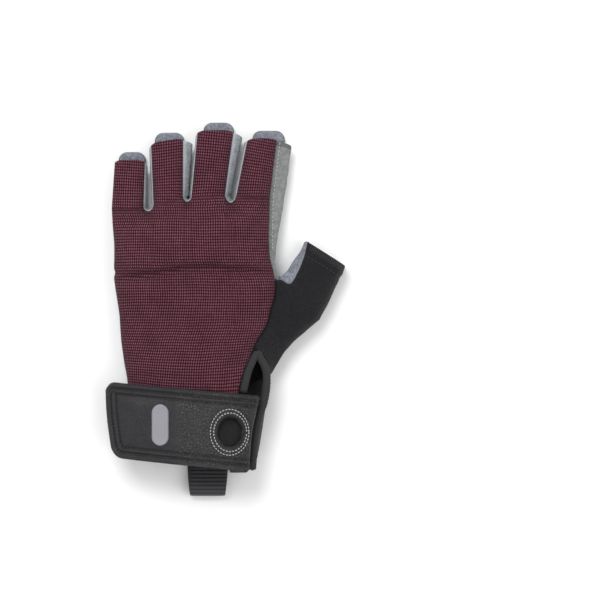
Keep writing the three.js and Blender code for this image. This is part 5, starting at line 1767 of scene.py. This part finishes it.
# piece, flat width and length, flat area inside them, how it is held, what it lies on
CUTS = [
    (back, (0.093, 0.147), 0.0124, "stretched", palm),
    (index_side, (0.087, 0.0125), 0.00087, "stretched", palm),
    (sides[0], (0.0505, 0.0102), 0.00042, "folded", palm),
    (sides[1], (0.062, 0.0102), 0.00052, "folded", palm),
    (sides[2], (0.065, 0.0102), 0.00055, "folded", palm),
    (thumb, (0.066, 0.062), 0.00299, "stretched", palm),
    (cuff, (0.07, 0.0405), 0.00272, "stretched", back),
    (band, (0.09, 0.038), 0.00327, "stretched", cuff),
    (strap, (0.096, 0.041), 0.00342, "stretched", cuff),
    (patch, (0.0265, 0.0322), 0.00065, "laid", palm),
    (tabs[0], (0.0148, 0.0102), 0.000136, "laid", palm),
    (tabs[1], (0.016, 0.0102), 0.000147, "laid", palm),
    (tabs[2], (0.0164, 0.0102), 0.000151, "laid", palm),
    (tabs[3], (0.0174, 0.0102), 0.00016, "laid", palm),
    (pull, (0.0202, 0.122), 0.00246, "folded", band),
]
for piece, flat, area, held, under in CUTS:
    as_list(under)

# Floor, light and camera

bpy.ops.mesh.primitive_plane_add(size=6, location=(0, 0, 0))
floor = bpy.context.object
floor.name = "floor"
paper = Tree("paper_floor")
grain = paper.noise(paper.place(), 1.5, 3)
floor.data.materials.append(paper.done(paper.mix(grain, (0.9, 0.9, 0.9), (0.92, 0.92, 0.92)), 0.9, specular=0.1))

world = bpy.data.worlds.new("studio")
scene.world = world
world.use_nodes = True
world.node_tree.nodes["Background"].inputs[0].default_value = (1, 1, 1, 1)
world.node_tree.nodes["Background"].inputs[1].default_value = 0.7
scene.view_settings.view_transform = "Standard"


def area_light(name, place, target, size, power):
    data = bpy.data.lights.new(name, "AREA")
    data.shape, data.size, data.size_y, data.energy = "RECTANGLE", size[0], size[1], power
    lamp = bpy.data.objects.new(name, data)
    lamp.location = place
    lamp.rotation_euler = (Vector(target) - Vector(place)).to_track_quat("-Z", "Y").to_euler()
    scene.collection.objects.link(lamp)


area_light("key", (-0.35, 0.75, 1.1), (0, 0, 0), (0.8, 0.6), 12)
area_light("fill", (0.7, -0.3, 1.0), (0, 0, 0), (0.9, 0.9), 4)

camera_data = bpy.data.cameras.new("camera")
camera = bpy.data.objects.new("camera", camera_data)
scene.collection.objects.link(camera)
DISTANCE = 1.9
camera_data.sensor_width = 36
camera_data.lens = 36 * DISTANCE / 0.324
camera_data.clip_start, camera_data.clip_end = 0.05, 20
camera.location = (0.0404, 0.0050, DISTANCE + 0.012)
camera.rotation_euler = (0, 0, 0)
scene.camera = camera
